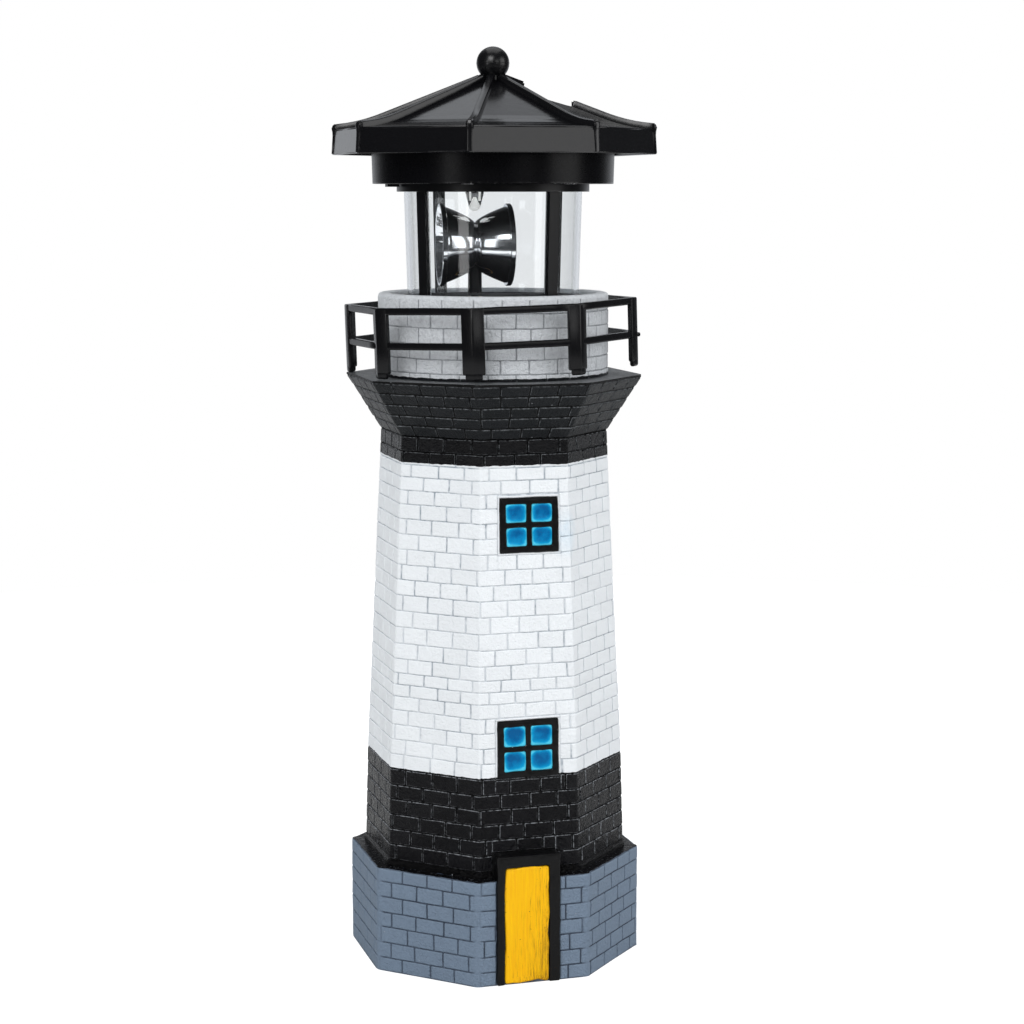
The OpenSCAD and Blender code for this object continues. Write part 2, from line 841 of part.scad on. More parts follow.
module spindle_bush() {
    color("goldenrod")
    at(spindle_at, z_seat - bush_boss_h)
    difference() {
        cylinder(r = bush_r, h = bush_boss_h + floor_t, $fn = 48);
        up(-lap) cylinder(r = spindle_r + run_gap, h = bush_boss_h + floor_t + 2 * lap, $fn = 32);
    }
}

module spindle() {
    color("dimgray")
    at(spindle_at, 0) {
        up(z_spindle) cylinder(r = spindle_r, h = z_floor + hub_lift + lap - z_spindle, $fn = 32);
        up(z_floor + hub_lift)
            cylinder(r = hub_r, h = z_hub_top - z_floor - hub_lift, $fn = 32);
    }
}

// Half of the reflector, opening towards +X, with the seam at x = 0
module reflector_half_bowl() {
    // The waist swells to the rim in a smooth curve
    swell = rim_r - rim_step - waist_r;
    reach = reflector_half - 2 * rim_lip;
    outside = [for (i = [0 : 5]) [waist_r + swell * (1 - cos(i * 18)), reach * sin(i * 18)]];
    rim = [[rim_r - rim_step, reflector_half - rim_lip], [rim_r, reflector_half - rim_lip],
           [rim_r, reflector_half]];
    bowl = [for (i = [bowl_steps : -1 : 0])
        let (part = i / bowl_steps)
        [bowl_r * part, reflector_half - bowl_depth * (1 - pow(part, 2))]];
    rotate([0, 90, 0]) rotate_extrude() polygon(concat([[0, 0]], outside, rim, bowl));
}

module reflector_piece(turn) {
    at(spindle_at, z_lamp)
    rotate([0, 0, reflector_turn + turn])
    difference() {
        reflector_half_bowl();
        cylinder(r = led_hole_r, h = rim_r, $fn = 32);
        up(-rim_r)
            cylinder(r = hub_r + press_gap, h = rim_r - waist_r + hub_socket + press_gap,
                     $fn = 32);
    }
}

module reflector_left() {
    color("gainsboro") reflector_piece(180);
}

module reflector_right() {
    color("gainsboro") reflector_piece(0);
}

module plug_cover() {
    color("black")
    up(z_skirt_foot) cylinder(r = skirt_in_r + cover_lip - seat_gap, h = cover_t, $fn = 96);
}

// ---- Lens and cage ----

function lens_r(z) = lens_foot_r + (lens_top_r - lens_foot_r) * (z - z_floor) / lantern_h;

// The lens's own ring between two levels, grown by a gap
module lens_ring(z, h, gap) {
    up(z)
    difference() {
        cylinder(r1 = lens_r(z) + gap, r2 = lens_r(z + h) + gap, h = h, $fn = 96);
        up(-lap)
            cylinder(r1 = lens_r(z - lap) - lens_wall - gap,
                     r2 = lens_r(z + h + lap) - lens_wall - gap, h = h + 2 * lap, $fn = 96);
    }
}

module each_post() {
    for (i = [0 : 3]) rotate([0, 0, corner + cage_turn + i * 90]) children();
}

module cage_post(gap, under, over) {
    rotate([90, 0, 0])
        linear_extrude(post_w + 2 * gap, center = true)
            polygon([[post_foot_r - post_t / 2 - gap, z_floor - under],
                     [post_foot_r + post_t / 2 + gap, z_floor - under],
                     [post_top_r + post_t / 2 + gap, z_ceiling + over],
                     [post_top_r - post_t / 2 - gap, z_ceiling + over]]);
}

module cage_pegs(gap, over) {
    for (i = [0 : 3])
        if (i != 1)
            rotate([0, 0, corner + cage_turn + i * 90])
                translate([post_foot_r + 0.2, 0, z_floor - peg_h])
                    cylinder(r = peg_r + gap, h = peg_h + over, $fn = 24);
}

module lens_tube() {
    color([0.85, 0.92, 0.95, 0.35])
    difference() {
        lens_ring(z_floor - lens_groove, lantern_h + 2 * lens_groove - seat_gap, 0);
        each_post() cage_post(seat_gap, 2 * lens_groove, 2 * lens_groove);
    }
}

module lantern_cage() {
    color("black")
    difference() {
        union() {
            up(z_ceiling) cylinder(r = flange_r, h = flange_t, $fn = 96);
            each_post() cage_post(0, 0, lap);
            cage_pegs(0, lap);
        }
        difference() {
            lens_ring(z_ceiling - lap, lens_groove + lap, seat_gap);
            each_post() cage_post(0, 0, flange_t);
        }
        at(spindle_at, z_ceiling - lap)
            cylinder(r = holder_r + seat_gap, h = flange_t + 2 * lap, $fn = 48);
        each_cage_screw() up(z_ring - cage_screw_depth) screw_hole(screw_r, flange_t);
        lead_channel();
    }
}

// The rear left post is hollow for the motor's leads
module lead_channel() {
    rotate([0, 0, lead_turn])
        rotate([90, 0, 0])
            linear_extrude(channel_w, center = true)
                polygon([[post_foot_r - post_t / 2 - lap, z_floor - lap],
                         [post_foot_r + 0.3, z_floor - lap],
                         [post_top_r + 0.3, z_ring + lap],
                         [post_top_r - post_t / 2 - lap, z_ring + lap]]);
}

// A hole for the motor's leads, in line with the hollow post's foot
module lead_hole(z, h) {
    rotate([0, 0, lead_turn])
        translate([post_foot_r + 0.4 - channel_w, -channel_w / 2, z])
            cube([channel_w, channel_w, h]);
}

module led() {
    color([0.9, 0.95, 1, 0.6])
    at(spindle_at, z_ceiling) {
        up(-led_len + led_tip_r)
            cylinder(r1 = led_tip_r, r2 = led_top_r, h = led_len - led_tip_r, $fn = 48);
        up(-led_len + led_tip_r) sphere(r = led_tip_r, $fn = 48);
        cylinder(r = led_top_r, h = led_flange_h, $fn = 48);
        for (s = [-1, 1])
            translate([s * led_pin_off - led_pin_w / 2, -led_pin_w / 2, led_flange_h - lap])
                cube([led_pin_w, led_pin_w, led_pin_h + lap]);
    }
}

module led_holder() {
    color("black")
    at(spindle_at, z_ceiling)
    difference() {
        union() {
            cylinder(r = holder_r, h = flange_t + ring_floor_t, $fn = 48);
            up(flange_t + ring_floor_t)
                cylinder(r = holder_r + holder_rim_w, h = holder_rim_h, $fn = 48);
        }
        up(-lap) cylinder(r = led_top_r + press_gap, h = led_flange_h + lap, $fn = 48);
        for (s = [-1, 1])
            translate([s * led_pin_off - led_pin_w / 2 - seat_gap / 2,
                       -led_pin_w / 2 - seat_gap / 2, -lap])
                cube([led_pin_w + seat_gap, led_pin_w + seat_gap, led_pin_h + lap]);
    }
}

module each_cage_screw() {
    each_dir(cage_screw_dirs, cage_screw_ring) children();
}

module cage_screws() {
    color("silver")
    each_cage_screw() up(z_tray)
        mirror([0, 0, 1]) screw(screw_r, ring_floor_t + cage_screw_depth);
}

// ---- Ring housing and electrics ----

module each_roof_screw() {
    each_dir(roof_screw_dirs, roof_screw_ring) children();
}

module each_board_post() {
    for (s = [-1, 1]) at(board_at + [s * board_hole, 0], z_tray) children();
}

module ring_housing() {
    wall_top = ring_h + ring_tuck;
    color("black")
    difference() {
        union() {
            up(z_ring)
            difference() {
                cylinder(r1 = ring_r, r2 = ring_r + ring_draft, h = wall_top, $fn = 96);
                up(ring_floor_t) cylinder(r = ring_in_r, h = wall_top, $fn = 96);
            }
            each_board_post() up(-lap) cylinder(r = board_post_r, h = board_lift + lap, $fn = 32);
        }
        at(spindle_at, z_ring - lap)
            cylinder(r = holder_r + seat_gap, h = ring_floor_t + 2 * lap, $fn = 48);
        each_cage_screw() up(z_ring - lap)
            screw_hole(screw_r + screw_gap, ring_floor_t + 2 * lap);
        each_roof_screw() {
            up(z_ring - lap) screw_hole(roof_screw_r + screw_gap, ring_floor_t + 2 * lap);
            up(z_ring - lap) screw_hole(2 * roof_screw_r + screw_gap, roof_screw_sink + lap);
        }
        each_board_post() up(board_lift - board_screw_depth - lap)
            screw_hole(board_screw_r, board_screw_depth + 2 * lap);
        knob_slot(z_ring - lap, ring_floor_t + 2 * lap);
        rotate([0, 0, lead_turn])
            translate([post_top_r + 0.4 - channel_w, -channel_w / 2, z_ring - lap])
                cube([channel_w, channel_w, ring_floor_t + 2 * lap]);
    }
}

// The room in which the switch knob travels
module knob_slot(z, h) {
    length = knob_l + switch_travel + 2 * switch_end_gap;
    translate([-switch_at - knob_w / 2 - switch_gap, -length / 2, z])
        cube([knob_w + 2 * switch_gap, length, h]);
}

module roof_screws() {
    color("dimgray")
    each_roof_screw() up(z_ring + roof_screw_sink)
        screw(roof_screw_r, ring_floor_t - roof_screw_sink + roof_screw_depth);
}

module circuit_board() {
    color("darkgreen")
    at(board_at, z_board)
    difference() {
        union() {
            translate([-board_size.x / 2, -board_size.y / 2, 0]) cube(board_size);
            at(chip_at, board_size.z - lap) cube(chip_size + [0, 0, lap]);
            at(store_at, board_size.z - lap) cylinder(r = store_r, h = store_h + lap, $fn = 32);
            at(coil_at, board_size.z - lap) cylinder(r = coil_r, h = coil_h + lap, $fn = 32);
        }
        for (s = [-1, 1])
            translate([s * board_hole, 0, -lap])
                screw_hole(board_screw_r + screw_gap, board_size.z + 2 * lap);
    }
}

module board_screws() {
    color("silver")
    each_board_post() up(board_lift + board_size.z)
        mirror([0, 0, 1]) screw(board_screw_r, board_size.z + board_screw_depth);
}

module battery_cell() {
    color("seagreen")
    translate([-(cell_len + cell_nub) / 2, cell_at, z_cell])
        rotate([0, 90, 0]) {
            cylinder(r = cell_r, h = cell_len);
            cylinder(r = cell_nub_r, h = cell_len + cell_nub, $fn = 32);
        }
}

module battery_cradle() {
    width = 2 * cell_r + 2 * cradle_side;
    low = z_cell - cradle_waist;
    open_h = cell_r + cradle_waist + cradle_top;
    color("black")
    difference() {
        translate([-cradle_len / 2, cell_at - width / 2, z_tray])
            cube([cradle_len, width, cradle_t + cell_r + cradle_top]);
        translate([-cradle_len / 2 + cradle_wall, cell_at, z_cell])
            rotate([0, 90, 0])
                cylinder(r = cell_r + seat_gap, h = cradle_len - 2 * cradle_wall);
        translate([-cradle_len / 2 + cradle_wall, cell_at - cell_r + cradle_side, low])
            cube([cradle_len - 2 * cradle_wall, 2 * cell_r - 2 * cradle_side, open_h]);
        translate([-cell_len / 2 + cradle_hook, cell_at - width, low])
            cube([cell_len - 2 * cradle_hook, 2 * width, open_h]);
        each_contact() translate([0, 0, -seat_gap])
            contact_tag(tag_w + 2 * seat_gap, contact_t + 2 * seat_gap);
    }
}

module each_contact() {
    for (s = [0, 1]) mirror([s, 0, 0]) translate([0, cell_at, 0]) children();
}

// The contact's tag, which pokes out through the cradle's end
module contact_tag(w, t) {
    translate([contact_x + press_gap, -w / 2, z_tag]) cube([tag_x - contact_x, w, t]);
}

module battery_contacts() {
    color("silver")
    each_contact() {
        translate([contact_x, -contact_w / 2, z_cell - contact_drop])
            cube([contact_t, contact_w, contact_h]);
        contact_tag(tag_w, contact_t);
    }
}

module switch_body() {
    size = [switch_w, knob_l + switch_travel + 2 * switch_end, switch_h];
    color("silver")
    difference() {
        translate([-switch_at - size.x / 2, -size.y / 2, z_tray]) cube(size);
        knob_slot(z_tray - lap, knob_grip + switch_gap + lap);
    }
}

module switch_knob() {
    color("dimgray")
    translate([-switch_at - knob_w / 2, -switch_travel / 2 - knob_l / 2, z_ring - knob_drop])
        cube([knob_w, knob_l, knob_drop + ring_floor_t + knob_grip]);
}

// ---- Roof ----

module at_roof_corner() {
    rotate([0, 0, corner + roof_turn]) children();
}

// The roof's solid outline, drawn in by a wall at the sides and the top
module roof_solid(side, top, under) {
    radii = concat([for (i = [0 : flare_steps]) eave_top_r - flare_w * i / flare_steps],
                   [crown_r / 2]);
    rotate([0, 0, roof_turn])
        octagonal(concat([[eave_r - side, z_eave - under]],
                         [for (r = radii) [max(lap, r - side), ridge_z(r) - top]]));
}

// Keeps what lies under the roof's skin
module under_roof() {
    intersection() {
        children();
        union() {
            roof_solid(lap, lap, 0);
            up(z_ring) cylinder(r = ring_in_r, h = z_eave - z_ring + lap, $fn = 96);
        }
    }
}

// A rib along +X, with a narrower top that breaks its edges
module rib() {
    radii = concat([crown_r], [for (i = [0 : flare_steps]) flare_start + flare_w * i / flare_steps]);
    for (layer = [[rib_w, rib_h - rib_edge], [rib_w - 2 * rib_edge, rib_h]])
        rotate([90, 0, 0])
            linear_extrude(layer.x, center = true)
                polygon(concat([for (r = radii) [r, ridge_z(r) + layer.y]],
                               [[eave_top_r, z_skirt - roof_t / 2], [flare_start, z_skirt],
                                [crown_r, ridge_z(crown_r) - roof_t]]));
}

// Moves a piece into the panel seat: x down the slope from the seat's inner edge, z out
module in_seat() {
    at_roof_corner()
        translate([panel_start, 0, z_apex - panel_drop])
            rotate([0, panel_tilt, 0]) children();
}

module seat_box(grow, low, high) {
    in_seat()
        translate([-grow, -seat_w / 2 - grow, low])
            cube([seat_w + 2 * grow, seat_w + 2 * grow, high - low]);
}

module roof_shell() {
    color([0.1, 0.1, 0.11])
    difference() {
        union() {
            difference() {
                union() {
                    roof_solid(0, 0, 0);
                    at_roof_corner() for (i = [0 : 7]) rotate([0, 0, i * 45]) rib();
                }
                roof_solid(roof_t, roof_t, lap);
            }
            under_roof() {
                up(z_ring + spigot_lift)
                difference() {
                    cylinder(r = ring_in_r - seat_gap, h = roof_reach, $fn = 96);
                    up(-lap)
                        cylinder(r = ring_in_r - seat_gap - spigot_wall,
                                 h = roof_reach + 2 * lap, $fn = 96);
                }
            }
            under_roof() each_roof_screw() up(z_tray)
                cylinder(r = roof_boss_r, h = roof_reach, $fn = 32);
            under_roof() up(crown_z - finial_stem_h - stem_floor)
                cylinder(r = finial_stem_r + stem_wall, h = roof_reach, $fn = 48);
            under_roof() seat_box(seat_wall, -seat_t, roof_reach);
            seat_box(0, -seat_t, 0);
        }
        seat_box(0, 0, roof_reach);
        seat_box(-seat_rim, -panel_sink - glaze_t - board_t, lap);
        up(crown_z) cylinder(r = crown_r + press_gap, h = roof_reach, $fn = 48);
        up(finial_z) sphere(r = ball_r + seat_gap);
        up(crown_z - finial_stem_h - seat_gap)
            cylinder(r = finial_stem_r + press_gap, h = roof_reach, $fn = 32);
        each_roof_screw() up(z_tray - lap) screw_hole(roof_screw_r, roof_screw_depth + 2 * lap);
        in_seat() translate([seat_w / 2, 0, -seat_t - lap])
            cylinder(r = wire_hole_r, h = seat_t, $fn = 24);
    }
}

module solar_panel() {
    color("midnightblue")
    in_seat()
        translate([seat_rim + seat_gap, -panel_w / 2, -panel_sink - glaze_t - board_t])
            cube([panel_w, panel_w, board_t]);
}

module panel_cover() {
    color([0.3, 0.35, 0.5, 0.4])
    in_seat()
        translate([seat_rim + seat_gap, -panel_w / 2, -panel_sink - glaze_t])
            cube([panel_w, panel_w, glaze_t]);
}

module finial_ball() {
    color("black") {
        up(finial_z) sphere(r = ball_r);
        up(crown_z) cylinder(r = crown_r, h = finial_z - crown_z, $fn = 48);
        up(crown_z - finial_stem_h)
            cylinder(r = finial_stem_r, h = finial_z - crown_z + finial_stem_h, $fn = 32);
    }
}

// ---- Leads ----

// The route beside a pair's middle line, on the left by off
function beside(p, off) =
    let (t = path_dirs(p))
    [for (i = [0 : len(p) - 1]) p[i] + off * unit([-t[i].y, t[i].x, 0])];

function raised(p, h) = [for (q = p) q + [0, 0, h]];

// A point beside the motor's terminals: out from the shaft, across, and up
function terminal_point(out, across, z) =
    [motor_at.x + out * cos(terminal_dir) - across * sin(terminal_dir),
     motor_at.y + out * sin(terminal_dir) + across * cos(terminal_dir), z];

function motor_lead_path(lift) =
    let (low = z_motor_top - motor_h - terminal_h / 2)
    concat([terminal_point(terminal_ring + 4, 0, low)], motor_lead_low,
           [post_point(lead_foot_r - 0.5, 0, z_motor_top - 1),
            post_point(lead_foot_r, 0, z_floor), post_point(lead_top_r, 0, z_tray)],
           raised(concat([post_point(lead_top_r + 0.1, 0, z_tray + 1)], motor_lead_high), lift),
           motor_lead_end);

module motor_leads() {
    start = terminal_ring + terminal_w / 2 + press_gap;
    low = z_motor_top - motor_h - terminal_h / 2;
    color("darkred")
    for (s = [-1, 1])
        lead(concat([terminal_point(start, s * terminal_off, low),
                     terminal_point(start + lead_tail, s * terminal_off, low)],
                    beside(motor_lead_path(s < 0 ? motor_lead_lift : 0), s * lead_off)), lead_r);
}

module switch_leads() {
    face = -switch_at + switch_w / 2 + press_gap;
    color("orange")
    for (s = [-1, 1])
        lead(concat([[face, switch_lead_y + s * lead_off, z_tray + 2],
                     [face + lead_tail, switch_lead_y + s * lead_off, z_tray + 2]],
                    beside(switch_lead_run, s * lead_off)), lead_r);
}

module led_leads() {
    face = -led_pin_w / 2 - press_gap;
    color("white")
    for (s = [-1, 1])
        let (x = spindle_at.x + s * led_pin_off)
        lead(concat([[x, face, z_board_top + lead_r], [x, face - lead_tail, z_board_top + lead_r]],
                    beside(led_lead_run, s * lead_off)), lead_r);
}

module battery_leads() {
    tag_z = z_tag + contact_t / 2;
    color("red")
    for (p = [left_battery_lead, right_battery_lead])
        let (s = sign(p[0].x))
        lead(concat(p, [[s * (tag_x + 2 * lead_tail), cell_at, tag_z],
                        [s * (tag_x + press_gap), cell_at, tag_z]]), lead_r);
}

module panel_leads() {
    pocket = -panel_sink - glaze_t - board_t - press_gap;
    color("red")
    for (s = [-1, 1])
        lead(concat(beside(panel_lead_run, s * lead_off),
                    [seat_point(seat_w / 2, s * lead_off, -seat_t - 1),
                     seat_point(seat_w / 2, s * lead_off, pocket)]), lead_r);
}

tower_body();
door_frame();
door_leaf();
upper_window_frame();
upper_window_panes();
lower_window_frame();
lower_window_panes();
gallery_railing();
lantern_base();
lens_tube();
lantern_cage();
ring_housing();
roof_shell();
finial_ball();
solar_panel();
panel_cover();
led();
led_holder();
circuit_board();
board_screws();
battery_cell();
battery_cradle();
battery_contacts();
switch_body();
switch_knob();
roof_screws();
cage_screws();
motor();
motor_shaft();
motor_pinion();
motor_screws();
gearbox_floor();
gearbox_screws();
idler_gear();
idler_axle();
output_gear();
spindle_bush();
spindle();
reflector_left();
reflector_right();
plug_cover();
motor_leads();
battery_leads();
panel_leads();
led_leads();
switch_leads();
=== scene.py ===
import math
import random

import bmesh
import bpy
from mathutils import Matrix, Vector, noise


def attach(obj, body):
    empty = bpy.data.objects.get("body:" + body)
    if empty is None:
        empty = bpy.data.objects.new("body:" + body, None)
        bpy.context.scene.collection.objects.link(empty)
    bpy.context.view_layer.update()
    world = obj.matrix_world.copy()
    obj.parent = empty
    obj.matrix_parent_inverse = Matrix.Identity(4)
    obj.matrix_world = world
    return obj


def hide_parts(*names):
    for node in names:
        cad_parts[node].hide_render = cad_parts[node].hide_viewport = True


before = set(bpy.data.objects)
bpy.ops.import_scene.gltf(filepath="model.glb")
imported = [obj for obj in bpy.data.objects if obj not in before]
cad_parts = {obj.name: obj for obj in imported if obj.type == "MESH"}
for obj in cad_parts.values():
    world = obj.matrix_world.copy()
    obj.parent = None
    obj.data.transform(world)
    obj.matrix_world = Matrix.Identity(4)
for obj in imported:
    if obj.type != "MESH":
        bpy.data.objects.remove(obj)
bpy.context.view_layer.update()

NOISE_SEED, BRICK_SEED = 2, 7
noise.seed_set(NOISE_SEED)

MM = 0.001
HALF_TURN = math.radians(22.5)
FLAT = math.cos(HALF_TURN)
UP = Vector((0, 0, 1))

# ---- The tower's outline: corner radii and heights ----

PLINTH_R, PLINTH_H = 58.0, 40.9
FOOT_R = 52.1
BAND_R, Z_BAND = 51.0, 79.2
SHAFT_TOP_R, Z_NECK = 45.1, 197.0
NECK_R, Z_CORBEL = 44.7, 207.8
DECK_R, Z_DECK, DECK_EDGE = 58.2, 229.6, 0.8
DRUM_R, Z_RIM = 44.8, 261.3
RIM_ROUND = 1.3
SEAT_R, Z_SEAT = 39.6, 257.7
SOCKET_R = 36.55
HOLLOW_FOOT_R, HOLLOW_TOP_R = 46.8, 39.8

# ---- The masonry ----

BRICK_L = 11.3
JOINT_DEPTH = 0.5
BEVEL = 0.3
BEVEL_DROP = 0.22
BRICK_SINK = 1.0
BRICK_SHARP = 25
SHORTEST_BRICK = 1.2
DOOR_FACET = 6
EIGHTHS = 8
PLINTH_COURSES = (0, 5.4, 11.4, 17.7, 23.5, 29.6, 35.7, 40.8)
SHAFT_COURSES = (79.2, 84.9, 90.7, 96.5, 102.2, 107.6, 112.2, 116.7, 122.2, 128.2, 134.5, 140.8,
                 146.9, 152.8, 158.6, 164.5, 170.4, 176.2, 181.9, 187.2, 192.3, 197.0)
FOOT_LIP_Z = 43.4

# ---- Door and windows, on the facet that faces -Y ----

DOOR_LEFT, DOOR_RIGHT = -11.4, 6.4
DOOR_FRAME_LEFT, DOOR_FRAME_RIGHT, DOOR_FRAME_TOP = -14.4, 10.7, 50.5
DOOR_SILL, DOOR_TOP = 0.3, 46.0
DOOR_FRONT = PLINTH_R * FLAT + 1.0
DOOR_SINK = 0.6
UPPER_WINDOW = {"x": 1.6, "z": Z_BAND + 96.2, "w": 23.1, "h": 20.9}
LOWER_WINDOW = {"x": 0.1, "z": Z_BAND + 10.9, "w": 24.2, "h": 22.1}
WINDOW_MARGIN = 0.9
FRAME_BAR, MUNTIN = 2.5, 2.0
SHAFT_TAPER = (BAND_R - SHAFT_TOP_R) * FLAT / (Z_NECK - Z_BAND)
SHAFT_LEAN = math.atan(SHAFT_TAPER)

# ---- Railing: an eight-sided loop of two rails on V-shaped posts, glued on a little askew ----

RAIL_R, RAIL_H, RAIL_BAR, RAIL_T, RAIL_DROP = 56.3, 26.7, 2.7, 2.5, 13.0
RAIL_FLANGE, RAIL_FOOT, RAIL_POST_T = 4.8, 3.7, 2.1
RAIL_PLACE = Vector((-1.44, 0.43, Z_DECK + 1.62))
RAIL_TURN = Matrix.Rotation(math.radians(-1.65), 3, Vector((0.287, 0.958, 0)))
RAIL_BENT = {3: -0.1, 4: 2.1, 5: 0.5, 6: -0.5, 7: 2.0}
RAIL_BEND_WAY = Vector((0.958, -0.287, 0))
STUB_POST, STUB_Z = 7, 12.3

# ---- Roof and lantern ----

ROOF_ANGLE = math.radians(22.5 - 1.46)
Z_APEX, ROOF_SLOPE = 344.2, 0.38
EAVE_R, EAVE_TOP_R, Z_EAVE, Z_SKIRT = 63.2, 62.4, 314.2, 323.6
FLARE_START, FLARE_W, FLARE_LIFT = 43.0, 19.4, 3.11
RIB_W, RIB_H = 2.9, 2.35
RIB_START, RIB_START_AT_SEAT, RIB_START_BELOW_SEAT = 4.4, 31.6, 51.6
SEAT_W = 45.2
SEAT_PLACE = Matrix.Rotation(ROOF_ANGLE, 3, "Z") @ Vector((6.6, 0, Z_APEX - 9.2))
SEAT_TURN = (Matrix.Rotation(ROOF_ANGLE, 3, "Z")
             @ Matrix.Rotation(math.radians(11.4), 3, "Y"))
RING_R, Z_RING = 46.6, 303.0
FLANGE_R, Z_CEILING = 37.3, 300.0
BALL_R, BALL_Z = 6.35, 348.9
SPINDLE_AT = Vector((-7.4, 0, 279.6))
LAMP_CUP = ((1.5, 293.9), (1.65, 294.1), (0.9, 296.3), (0.35, 298.2))
LEG_OFF, LEG_R, LEG_Z = 1.27, 0.3, (296.8, 301.9)
REFLECTOR_TURN = -8.2
REFLECTOR_HALF, RIM_R, RIM_STEP, RIM_LIP, WAIST_R = 13.9, 15.9, 1.2, 1.3, 8.5
DIMPLE_RINGS, DIMPLE_RAYS, DIMPLE_H = 5, 12, 0.45


# ======== Meshes ========

class Build:
    """Points, faces and per-point values of a mesh that is being put together."""

    def __init__(self):
        self.points, self.faces, self.slots = [], [], []
        self.values = {}

    def point(self, place, **values):
        self.points.append(Vector(place))
        for name, value in values.items():
            self.values.setdefault(name, {})[len(self.points) - 1] = value
        return len(self.points) - 1

    def face(self, corners, slot=0):
        self.faces.append(tuple(corners))
        self.slots.append(slot)

    def bridge(self, low, high, slot=0):
        """Joins two closed rings that hold as many points."""
        count = len(low)
        for i in range(count):
            j = (i + 1) % count
            self.face((low[i], low[j], high[j], high[i]), slot)


def add_object(name, data):
    thing = bpy.data.objects.new(name, data)
    bpy.context.scene.collection.objects.link(thing)
    return thing


def make_piece(name, build, materials, body, replaces=(), angle=35):
    """Makes an object of a Build, in metres, parents it to its body and hides what it replaces."""
    mesh = bpy.data.meshes.new(name)
    mesh.from_pydata([p * MM for p in build.points], [], build.faces)
    for key, values in build.values.items():
        layer = mesh.attributes.new(key, "FLOAT", "POINT")
        for index, value in values.items():
            layer.data[index].value = value
    for material in materials:
        mesh.materials.append(material)
    for polygon, index in zip(mesh.polygons, build.slots):
        polygon.material_index = index
    work = bmesh.new()
    work.from_mesh(mesh)
    bmesh.ops.recalc_face_normals(work, faces=work.faces)
    work.to_mesh(mesh)
    work.free()
    mesh.shade_smooth()
    mesh.set_sharp_from_angle(angle=math.radians(angle))
    piece = add_object(name, mesh)
    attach(piece, body)
    if replaces:
        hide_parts(*replaces)


def wobble(place, size, scale):
    """A small shift that depends on the place alone, for what is cast or painted by hand."""
    return noise.noise_vector(place * scale) * size


def polar(r, angle, z=0.0):
    """A place at a radius and an angle round the tower's middle."""
    return Vector((r * math.cos(angle), r * math.sin(angle), z))


def bend(start, corner, end, t):
    """A place on the curve from start to end that a corner pulls towards itself."""
    return start * (1 - t) ** 2 + corner * 2 * t * (1 - t) + end * t * t


class Wall:
    """A stretch of wall between two heights, eight-sided, or round where it is the drum.
    A place along it is counted in eighths of a turn: facet k lies from k to k + 1."""

    def __init__(self, low, high, is_round=False, soft=1.0, fade=0.4, joints=(0.52, 0.36),
                 coat=0):
        (self.r0, self.z0), (self.r1, self.z1) = low, high
        self.is_round, self.soft, self.fade, self.joints = is_round, soft, fade, joints
        self.coat = coat
        rise = (self.r1 - self.r0) * FLAT / (self.z1 - self.z0)
        self.tilt = Vector((1, rise)).normalized()

    def radius(self, z):
        return self.r0 + (self.r1 - self.r0) * (z - self.z0) / (self.z1 - self.z0)

    def side(self, z):
        r = self.radius(z)
        return r * 2 * HALF_TURN if self.is_round else 2 * r * math.sin(HALF_TURN)

    def normal(self, facet):
        return polar(1, 2 * HALF_TURN * facet) * self.tilt.x - UP * self.tilt.y

    def corner(self, k, z):
        return polar(self.radius(z), HALF_TURN * (2 * k - 1), z)

    def point(self, a, z, out):
        if self.is_round:
            return polar(self.radius(z) + out, HALF_TURN * (2 * a - 1), z)
        k = math.floor(a)
        side = self.side(z)
        along = (a - k) * side
        start, end = self.corner(k, z), self.corner(k + 1, z)
        if along < self.soft:
            return self.turned(k, z, 0.5 + 0.5 * along / self.soft, out)
        if side - along < self.soft:
            return self.turned(k + 1, z, 0.5 - 0.5 * (side - along) / self.soft, out)
        return start.lerp(end, a - k) + self.normal(k) * out

    def turned(self, k, z, t, out):
        """A point on the worn corner k, from t = 0 on the facet before it to 1 on the next."""
        corner = self.corner(k, z)
        share = self.soft / self.side(z)
        before = corner.lerp(self.corner(k - 1, z), share)
        after = corner.lerp(self.corner(k + 1, z), share)
        out_way = self.normal(k - 1).lerp(self.normal(k), t).normalized()
        return bend(before, corner, after, t) + out_way * out


WHITE, SLATE, BLACK, LEDGE, DECK, RAW = range(6)

PLINTH = Wall((PLINTH_R, 0), (PLINTH_R, PLINTH_H), soft=1.8, fade=0.12, joints=(0.58, 0.52),
              coat=SLATE)
BAND = Wall((FOOT_R, PLINTH_H), (BAND_R, Z_BAND), soft=0.8, fade=0.6, joints=(0.6, 0.56),
            coat=BLACK)
SHAFT = Wall((BAND_R, Z_BAND), (SHAFT_TOP_R, Z_NECK), soft=0.55, fade=0.3,
             joints=(0.56, 0.3), coat=WHITE)
NECK = Wall((SHAFT_TOP_R, Z_NECK), (NECK_R, Z_CORBEL), soft=0.7, fade=0.6, joints=(0.6, 0.56),
            coat=BLACK)
CORBEL = Wall((NECK_R, Z_CORBEL), (DECK_R, Z_DECK - DECK_EDGE), soft=0.7, fade=0.6,
              joints=(0.64, 0.66), coat=BLACK)
DRUM = Wall((DRUM_R, Z_DECK), (DRUM_R, Z_RIM), is_round=True, joints=(0.46, 0.36), coat=WHITE)


